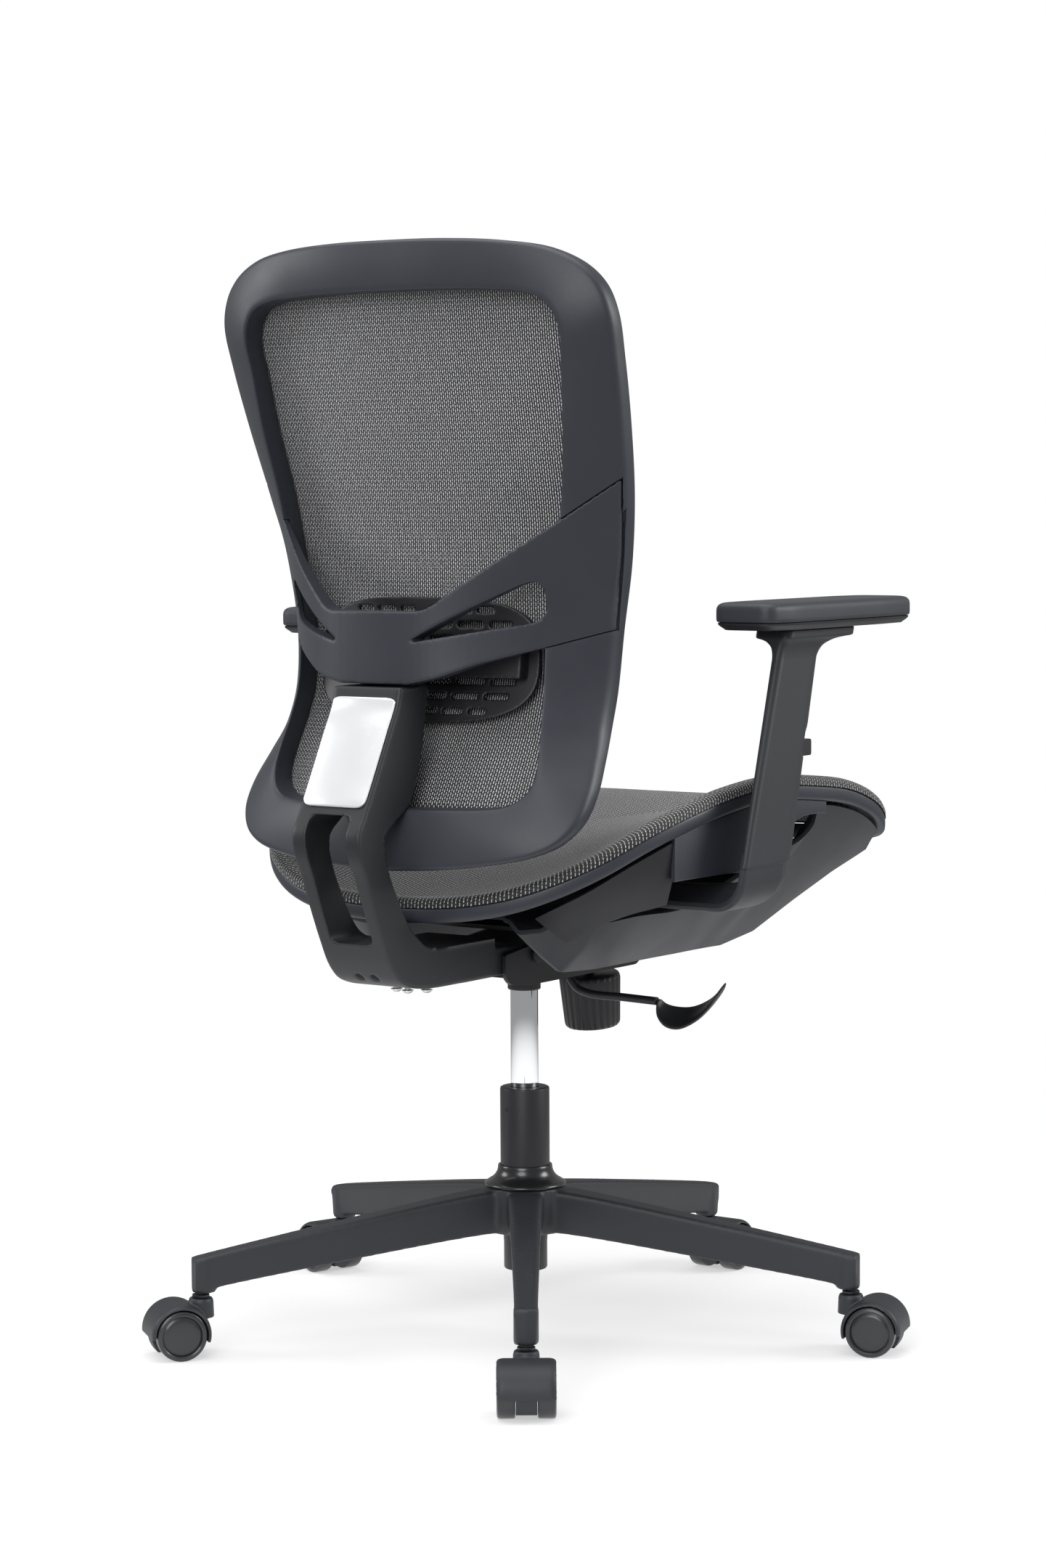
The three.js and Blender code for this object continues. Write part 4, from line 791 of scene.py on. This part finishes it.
# ---- lumbar support ----
EDGE_X = table([[600, 154], [662, 147], [720, 148], [781, 158], [845, 168]])
EDGE_Y = table([[600, 168], [662, 148], [720, 144], [781, 144.3], [845, 148]])


def net_depth(x, z):
    share = min(1.0, (x / EDGE_X(z)) ** 2)
    return NET_CENTRE(z) * (1 - share) + EDGE_Y(z) * share


def lumbar_slab(near, far, half, low, high, columns, rows):
    sections = []
    for x in np.linspace(-half, half, columns):
        line = [(x, net_depth(x, z), z) for z in np.linspace(low, high, rows)]
        sections.append(np.vstack([np.array(line) + (0, near, 0), np.array(line[::-1]) + (0, far, 0)]))
    return skin(sections)


def make_lumbar():
    a = np.arange(72) * math.pi / 36
    oval = np.c_[130 * np.sign(np.cos(a)) * np.abs(np.cos(a)) ** 0.62,
                 689 + 60 * np.sign(np.sin(a)) * np.abs(np.sin(a)) ** 0.62]
    slots = []
    for sign in (-1, 1):
        for step, reach in ((20, 110), (34, 104), (48, 84)):
            z = 689 + sign * step
            edges = [6, reach * 0.36, reach * 0.7, reach]
            for start, stop in zip(edges, edges[1:]):
                slot = prism(rounded([[start + 3, z - 3, 2.9], [stop - 3, z - 3, 2.9], [stop - 3, z + 3, 2.9],
                                      [start + 3, z + 3, 2.9]]), 1, 100, 300)
                slots += [slot, flipped(slot)]
    pad = carve(make_object("lumbar_plate", lumbar_slab(4, 9, 135, 624, 754, 60, 40)), 1.15,
                keep=[prism(oval, 1, 100, 300)], cut=slots, soften=2)
    finish_piece(pad, DARK, "lumbar", "dark_plastic", "lumbar_pad")
    beam = together(lumbar_slab(10.8, 24, 120, 673, 702, 50, 10), block(-34, 34, 176, 214.3, 676, 699))
    carrier = carve(make_object("lumbar_beam", beam), 1.4, soften=4)
    finish_piece(carrier, DARK, "lumbar", "dark_plastic", "lumbar_carrier")


# ---- spine ----
SPINE_PAIRS = [[257, 666.5, 214, 666.5], [261, 650, 216, 650], [273, 627, 220, 633], [296, 583, 230, 588],
               [314, 550, 245, 556], [324, 530, 270, 539], [322, 512, 285, 525], [312, 490, 281, 501],
               [298, 456, 265, 468], [284, 425, 248, 441], [272, 402, 232, 426], [258, 387, 219, 418],
               [239, 379.5, 205, 415.5], [215, 376, 188, 415], [160, 375, 158, 415], [107, 375, 107, 415]]
SPINE_REAR = curve3([[0, a, b] for a, b, _, _ in SPINE_PAIRS])
SPINE_FRONT = curve3([[0, c, d] for _, _, c, d in SPINE_PAIRS])
SCREWS = [[0, 214], [-17, 219], [-30, 206]]


def make_spine():
    sections = []
    for t in np.linspace(0, 1, 120):
        rear, front = SPINE_REAR(t), SPINE_FRONT(t)
        shape = rounded([[-43, 0, 7], [43, 0, 7], [43, 1, 0], [-43, 1, 0]], 6)
        depth = np.linalg.norm(front - rear)
        share = np.where(shape[:, 1] >= 1, 1, shape[:, 1] / depth)
        row = rear + np.outer(share, front - rear)
        row[:, 0] = shape[:, 0]
        sections.append(row)
    bar = skin(sections)
    handle = prism(rounded([[-25, 424, 9], [25, 424, 9], [23.5, 549, 9], [-23.5, 549, 9]]), 1, 232, 350)
    tongue = prism([(110, 376), (110, 405), (48, 401), (34, 399), (31, 392), (31.5, 384), (37, 380),
                    (60, 377)], 0, -41, 41)
    neck = prism([(215, 658), (234, 658), (225, 665), (225, 735), (215, 735)], 0, -30, 30)
    pockets = [block(x0, x1, 255, 330, 380, 393) for x0, x1 in ((-13, -5), (5, 13))]
    holes = [moved(upright(6.4, 366, 376.2), (x, y, 0)) for x, y in SCREWS]
    spine = carve(make_object("spine_moulding", together(bar, tongue, neck)), 1.5,
                  cut=[handle, crossways(5.25, -60, 60, 45, 392)] + holes + pockets, soften=4)
    finish_piece(spine, SPINE, "back", "satin_shell", "spine")

    sections = []
    begin, end, corner, last = 0.62 / 15, 3.8 / 15, 9.0, 119
    length = np.linalg.norm(SPINE_REAR(end) - SPINE_REAR(begin))
    for i, t in enumerate(np.linspace(begin, end, last + 1)):
        here = SPINE_REAR(t)
        way = SPINE_REAR(t + 1e-3) - SPINE_REAR(t - 1e-3)
        out = np.array([0, -way[2], way[1]]) / np.linalg.norm(way)
        out = -out if out[1] < 0 else out
        near = min(i, last - i) / last * length
        bite = corner - math.sqrt(max(0.0, corner ** 2 - (corner - near) ** 2)) if near < corner else 0
        half = 36.5 - bite
        row = [(-half, 0.6), (half, 0.6), (half, 1.8), (half - 0.35, 2.4), (half - 1.1, 2.6),
               (-half + 1.1, 2.6), (-half + 0.35, 2.4), (-half, 1.8)]
        sections.append(np.array([here + out * lift + (x, 0, 0) for x, lift in row]))
    plate = make_object("spine_badge_blank", skin(sections))
    finish_piece(plate, SILVER, "back", "silver_trim", "spine_plate", crease=50)
    head = lathe([[0, 370.2], [2.6, 370.7], [4.4, 371.8], [5.5, 373.2], [5.7, 374], [3, 374], [3, 380],
                  [0, 380]], 40)
    cross = [block(-3, 3, -0.7, 0.7, 369, 372.4), block(-0.7, 0.7, -3, 3, 369, 372.4)]
    for i, (x, y) in enumerate(SCREWS):
        screw = carve(make_object(f"screw_{i + 1}", moved(head, (x, y, 0))), 0.25,
                      cut=[moved(c, (x, y, 0)) for c in cross], soften=1)
        finish_piece(screw, SCREW, "back", "silver_trim", f"spine_screw_{i + 1}")


# ---- seat ----
RIM_EDGE = [[0, 226, 455], [70, 224, 458], [125, 211, 467], [168, 189, 482], [203, 156, 502],
            [228, 112, 525], [243, 55, 543], [249, -10, 555], [251, -80, 560], [254, -150, 556],
            [259, -215, 547], [261, -262, 530], [250, -296, 511], [222, -314, 503], [160, -323, 500],
            [80, -327, 498], [0, -328, 497]]
EDGE = mirror_ring(RIM_EDGE)
RIM_STATIONS = (len(RIM_EDGE) - 1) * 2
SEAT_CENTRE = table([[200, 455], [150, 466], [100, 477], [50, 488], [0, 499], [-50, 509], [-100, 518],
                     [-150, 526], [-200, 532], [-250, 533], [-280, 521], [-304, 500]])


def rim_point(station, inward, up):
    t = station / RIM_STATIONS % 1.0
    p = EDGE(t)
    way = EDGE(t + 1e-4) - EDGE(t - 1e-4)
    inside = np.array([-way[1], way[0], 0]) / math.hypot(way[0], way[1])
    if inside @ (-p[0], -50 - p[1], 0) < 0:
        inside = -inside
    return p + inside * inward + (0, 0, up)


def seat_point(station, f):
    if f > 1:
        wrap = [[26, 3], [19.5, 7.2], [14, 8.8], [8, 8.9], [4, 8.1], [1.6, 6.4], [0.3, 3.6], [0.1, -1.2]]
        at = (f - 1) * (len(wrap) - 1)
        i = min(int(at), len(wrap) - 2)
        inward, up = np.array(wrap[i]) * (1 - at + i) + np.array(wrap[i + 1]) * (at - i)
        return rim_point(station, inward, up)
    edge = rim_point(station, 26, 3)
    y = -50 + (edge[1] + 50) * f
    rise = edge[2] - SEAT_CENTRE(edge[1])
    return np.array([edge[0] * f, y, SEAT_CENTRE(y) + rise * f ** 2.2])


def make_seat():
    shape = [(1.6, -1.9), (3, -1.5), (12, -1), (20, -1), (19.4, -8), (18.4, -14), (17.4, -15.6), (16, -16),
             (5.4, -16), (3.6, -15.7), (2.2, -14.8), (1.2, -13.2), (0.75, -10), (0.65, -7), (0.8, -4),
             (1.1, -2.5)]
    sections = []
    for s in np.arange(0, RIM_STATIONS, 1 / 10):
        sections.append(np.array([rim_point(s, a, b) for a, b in shape]))
    rim = make_object("rim_moulding", skin(sections, ring=True))
    finish_piece(rim, SHELL, "seat", "satin_shell", "seat_rim", crease=50)
    wrap_rings, count = 14, 360
    rings = [1 + k / wrap_rings for k in range(wrap_rings, 0, -1)] + list(np.linspace(1, 0.03, 34))
    net = net_sheet("seat_net", seat_point, rings, count, RIM_STATIONS)
    run = np.cumsum([0] + [math.hypot(1, SEAT_CENTRE(y + 1) - SEAT_CENTRE(y)) for y in range(-360, 360)])
    spots = [v.co / MM for v in net.data.vertices]
    weave_map(net, [(p.x * MM, np.interp(p.y, range(-360, 361), run) * MM) for p in spots])
    # On the turned-over border the weave follows the rim.
    edge = np.array([rim_point(s, 0, 0) for s in np.arange(count + 1) * RIM_STATIONS / count])
    along = np.cumsum(np.r_[0, np.linalg.norm(np.diff(edge, axis=0), axis=1)]) * MM
    layer = net.data.uv_layers["Weave"].data
    for polygon in net.data.polygons:
        rows = [i // count for i in polygon.vertices]
        if max(rows) > wrap_rings or len(rows) < 4:
            continue
        steps = [i % count for i in polygon.vertices]
        for loop, row, step in zip(polygon.loop_indices, rows, steps):
            if max(steps) - min(steps) > 1 and step == 0:
                step = count
            layer[loop].uv = (along[step], row * 0.0026)
    finish_piece(net, SEAT_NET, "seat", "netting", "seat_mesh")


# Sections from the rear forwards: y, height of the web, the lower corner's x and z, the upper edge's x and z.
SHELL_ROWS = [[140, 437, 92, 424, 138, 436], [118, 437, 104, 400, 150, 434], [98, 436, 110, 384, 158, 434],
              [40, 436, 110, 381, 162, 436], [-60, 438, 110, 381, 164, 437], [-100, 440, 111, 381, 184, 458],
              [-135, 442, 113, 381.5, 208, 484], [-160, 444, 116, 382, 226, 496],
              [-172, 444.5, 117, 382, 236, 511], [-180, 445, 118, 382, 240, 530],
              [-225, 450, 130, 393, 252, 524], [-258, 458, 160, 425, 254, 510.5],
              [-282, 468, 192, 454, 247.5, 498.5], [-300, 480, 211, 470, 232, 489.5]]


def make_shell():
    rows = np.array(SHELL_ROWS, float)
    depth = np.interp(np.linspace(0, len(rows) - 1, 140), range(len(rows)), rows[:, 0])
    along = curve3(np.c_[rows[:, 0], rows[:, 4], rows[:, 5]])
    edge = np.array([along(t) for t in np.linspace(0, 1, 400)])
    sections = []
    for y in depth:
        web, foot_x, foot_z = (np.interp(-y, -rows[:, 0], rows[:, k]) for k in range(1, 4))
        top_x, top_z = (np.interp(-y, -edge[:, 0], edge[:, k]) for k in (1, 2))
        bend = [foot_x * 0.5 + top_x * 0.5 + 3, foot_z * 0.5 + top_z * 0.5 - 3]
        line = np.array([[0, web], [60, web], [74, web], [foot_x - 18, web * 0.86 + foot_z * 0.14],
                         [foot_x - 12, web * 0.75 + foot_z * 0.25], [foot_x - 3, foot_z + 1],
                         [foot_x + 3, foot_z], bend, [top_x, top_z]])
        way = np.gradient(line, axis=0)
        way /= np.linalg.norm(way, axis=1)[:, None]
        inner = line + np.c_[-way[:, 1], way[:, 0]] * 4.5
        inner[0] = line[0] + (0, 4.5)
        loop = np.vstack([line[:0:-1] * (-1, 1), line, inner[::-1], inner[1:] * (-1, 1)])
        sections.append(np.insert(loop, 1, y, axis=1))
    shell = make_object("under_shell", skin(sections))
    soft = shell.modifiers.new("edges", "BEVEL")
    soft.width, soft.segments, soft.angle_limit = 1.4 * MM, 3, math.radians(24)
    apply_modifiers(shell)
    # The under shell takes the darker copy of the shell plastic: painted shade.
    finish_piece(shell, SHELL_SHADED, "seat", "satin_shell", "seat_shell", crease=38)

    low = curve3([[146, 138, 419], [172, 126, 434], [197, 106, 446], [214, 84, 452], [219, 74, 454]])
    high = curve3([[118, 150, 442], [176, 146, 470], [207, 122, 493], [227, 90, 511], [233, 74, 518]])
    sections = []
    for t in np.linspace(0, 1, 40):
        a, b = low(t), high(t)
        across = (b - a) / np.linalg.norm(b - a)
        way = low(min(t + 0.01, 1)) - low(max(t - 0.01, 0))
        out = np.cross(across, way / np.linalg.norm(way))
        out = -out if out[0] + out[1] < 0 else out
        outer = [a + (b - a) * u + out * 2.5 * math.sin(math.pi * u) for u in np.linspace(0, 1, 9)]
        sections.append(np.array(outer + [p - out * 3.4 for p in outer[::-1]]))
    wing = skin(sections)
    sections = []
    drop = table([[5.55, 42], [6.45, 54], [7.3, 62], [7.9, 58], [8.4, 28], [8.8, 16], [9.35, 12]])
    for s in np.linspace(5.55, 9.35, 90):
        bottom = -16.4 - drop(s)
        shape = rounded([[5, -16.4, 0.4], [10, -16.4, 0.4], [10, bottom, 1.8], [5, bottom, 1.8]], 4)
        sections.append(np.array([rim_point(s, a, b) for a, b in shape]))
    panel = skin(sections)
    for hand, part in (("left", lambda p: p), ("right", flipped)):
        piece = make_object(f"wing_{hand}", part(wing))
        # The wings are part of the shell but take the darker plastic: painted shade, as they face down and
        # out.
        finish_piece(piece, DARK, "seat", "dark_plastic", f"seat_wing_{hand}", crease=40)
        piece = make_object(f"panel_{hand}", part(panel))
        finish_piece(piece, SHELL, "seat", "satin_shell", f"side_panel_{hand}", crease=50)


# ---- armrests ----
# The post is a leaning blade. Its sections are [outwards, forwards] from the centre line.
POST_LOW = [[11, -35, 3], [11, 35.5, 3], [7.5, 49, 2], [1, 50, 2], [-11, 24, 3], [-11, -10, 3], [4.5, -38, 1],
            [8, -38, 1]]
POST_HIGH = [[11, -30, 3], [11, 29.5, 3], [8, 41, 2], [1, 42, 2], [-11, 18, 3], [-11, -8, 3], [1.5, -34, 1],
             [7, -34, 1]]
POST_HEAD = [[19, -31, 4], [19, 88, 4], [13, 95, 3], [-17, 95, 3], [-24, 88, 4], [-24, -29, 4], [-18, -36, 3],
             [13, -36, 3]]


def post_y(z):
    return -6.7 - LEAN * (z - 487)


def blend(a, b, t):
    return [[p + (r - p) * t, q + (s - q) * t, u + (v - u) * t] for (p, q, u), (r, s, v) in zip(a, b)]


def post_section(section, z, steps=4):
    shape = rounded(section, steps)
    return np.c_[271 + shape[:, 0], post_y(z) - shape[:, 1], np.full(len(shape), z)]


def shrunk(section, by):
    centre = np.mean([row[:2] for row in section], axis=0)
    return [[x - np.sign(x - centre[0]) * by, y - np.sign(y - centre[1]) * by, max(r - 0.5, 0.5)]
            for x, y, r in section]


def make_arms():
    neck = shrunk(POST_LOW, 1.6)
    stations = [[120, 452, 1.2, 0.55, -16], [170, 453, 1.25, 0.6, -16], [215, 454, 1.3, 0.7, -14],
                [246, 456.5, 1.35, 0.82, -8], [264, 464, 1.2, 0.94, -2], [271, 474, 1, 1, post_y(474)]]
    path = curve3([row[:3] for row in stations])
    lengths = curve3([[row[3], row[4] / 100, 0.1 * i] for i, row in enumerate(stations)])
    shape = rounded(neck, 4)
    sections = []
    for t in np.linspace(0, 1, 60):
        x, z, thick = path(t)
        long, y, _ = lengths(t)
        way = (path(t + 0.01) - path(t - 0.01))[:2]
        if t <= 0.01:
            way = np.array([1, 0.02])
        elif t >= 0.985:
            way = np.array([0, 1])
        way = way / np.linalg.norm(way)
        sections.append(np.array([(x + way[1] * out * thick, y * 100 - ahead * long, z - way[0] * out * thick)
                                  for out, ahead in shape]))
    sections.append(post_section(neck, 500.8))
    bracket = skin(sections)

    # How far the post has widened into its head, by height above the start of the flare.
    flare = [[4, 0.03], [7, 0.07], [10, 0.13], [12, 0.2], [14, 0.31], [16, 0.45], [17.4, 0.61], [18.4, 0.8],
             [18.8, 0.93], [19.5, 1]]
    outside = [post_section(POST_LOW, 475.2), post_section(POST_LOW, 505)]
    outside += [post_section(blend(POST_LOW, POST_HIGH, t), 505 + 170 * t) for t in np.linspace(0.05, 1, 24)]
    outside += [post_section(blend(POST_HIGH, POST_HEAD, t), 675 + rise) for rise, t in flare]
    outside.append(post_section(POST_HEAD, 702.9))
    front_y = post_y(586) - 45
    room = skin([post_section(shrunk(POST_LOW, 1.3), z) for z in (470, 503)])
    scoop = crossways(33, 241, 301, front_y - 29, 586, 96)
    key_hole = block(264.6, 279.4, front_y - 4, front_y + 12, 577.4, 594.6)
    bar_room = skin([post_section([[7.5, -12.5, 1], [7.5, 22, 1], [-6.5, 22, 1], [-6.5, -12.5, 1]], z)
                     for z in (475, 665)])
    post = taken(carve(make_object("post_master", skin(outside)), 1.0, cut=[room, scoop, key_hole, bar_room],
                       soften=3))
    key = prism(rounded([[front_y - 12, 577.8, 3], [front_y + 7, 577.8, 0.6], [front_y + 7, 594.2, 0.6],
                         [front_y - 12, 594.2, 3]]), 0, 265, 279)
    key = taken(carve(make_object("key_master", key), 0.5, soften=3))

    def outline(shrink):
        corners = [[-34, 13], [30, 13.5], [39, -20], [39, -200], [34, -262], [-30, -262], [-39, -226],
                   [-39, -30]]
        middle, radius = -124.5, 13
        return rounded([[a - np.sign(a) * shrink, b + np.sign(middle - b) * shrink, radius]
                        for a, b in corners], 8)

    def layer(rows):
        out = []
        for z, shrink in rows:
            p = outline(shrink)
            out.append(np.c_[267 + p[:, 0], p[:, 1] + LEAN * RIGHT_ARM_RAISED, np.full(len(p), z)])
        return skin(out)

    tray = layer([[703.4, 7.5], [703.5, 6.4], [705, 4.9], [707, 2.8], [708.2, 1.7], [709, 1.25], [710.4, 1.1],
                  [710.75, 1.5]])
    soft = [[711.2, 1.6], [711.6, 0.7], [712.6, 0.15], [715, 0], [722, 0], [724.6, 0.2], [726.6, 0.8],
            [728.2, 1.9], [729.3, 3.4], [730, 5.4], [730.35, 8], [730.4, 12]]
    for hand, side in (("left", 1), ("right", -1)):
        fit = flipped if side < 0 else (lambda p: p)
        lift = RIGHT_ARM_RAISED if side < 0 else 0.0
        rise = (0, -LEAN * lift, lift)
        piece = make_object(f"bracket_{hand}", fit(bracket))
        finish_piece(piece, NYLON, "seat", "satin_nylon", f"arm_bracket_{hand}", crease=50)
        piece = make_object(f"post_{hand}", moved(fit(post), rise))
        finish_piece(piece, NYLON, f"arm_{hand}", "satin_nylon", f"arm_post_{hand}")
        piece = make_object(f"key_{hand}", moved(fit(key), rise))
        finish_piece(piece, DARK, f"button_{hand}", "dark_plastic", f"arm_button_{hand}")
        piece = make_object(f"tray_{hand}", moved(fit(tray), rise))
        finish_piece(piece, DARK, f"arm_{hand}", "dark_plastic", f"pad_tray_{hand}", crease=50)
        piece = make_object(f"pad_{hand}", moved(fit(layer(soft)), rise))
        finish_piece(piece, SOFT, f"arm_{hand}", "soft_pad", f"arm_pad_{hand}", crease=60)


make_base()
make_casters()
make_mechanism()
make_back()
make_back_net()
make_lumbar()
make_spine()
make_seat()
make_shell()
make_arms()
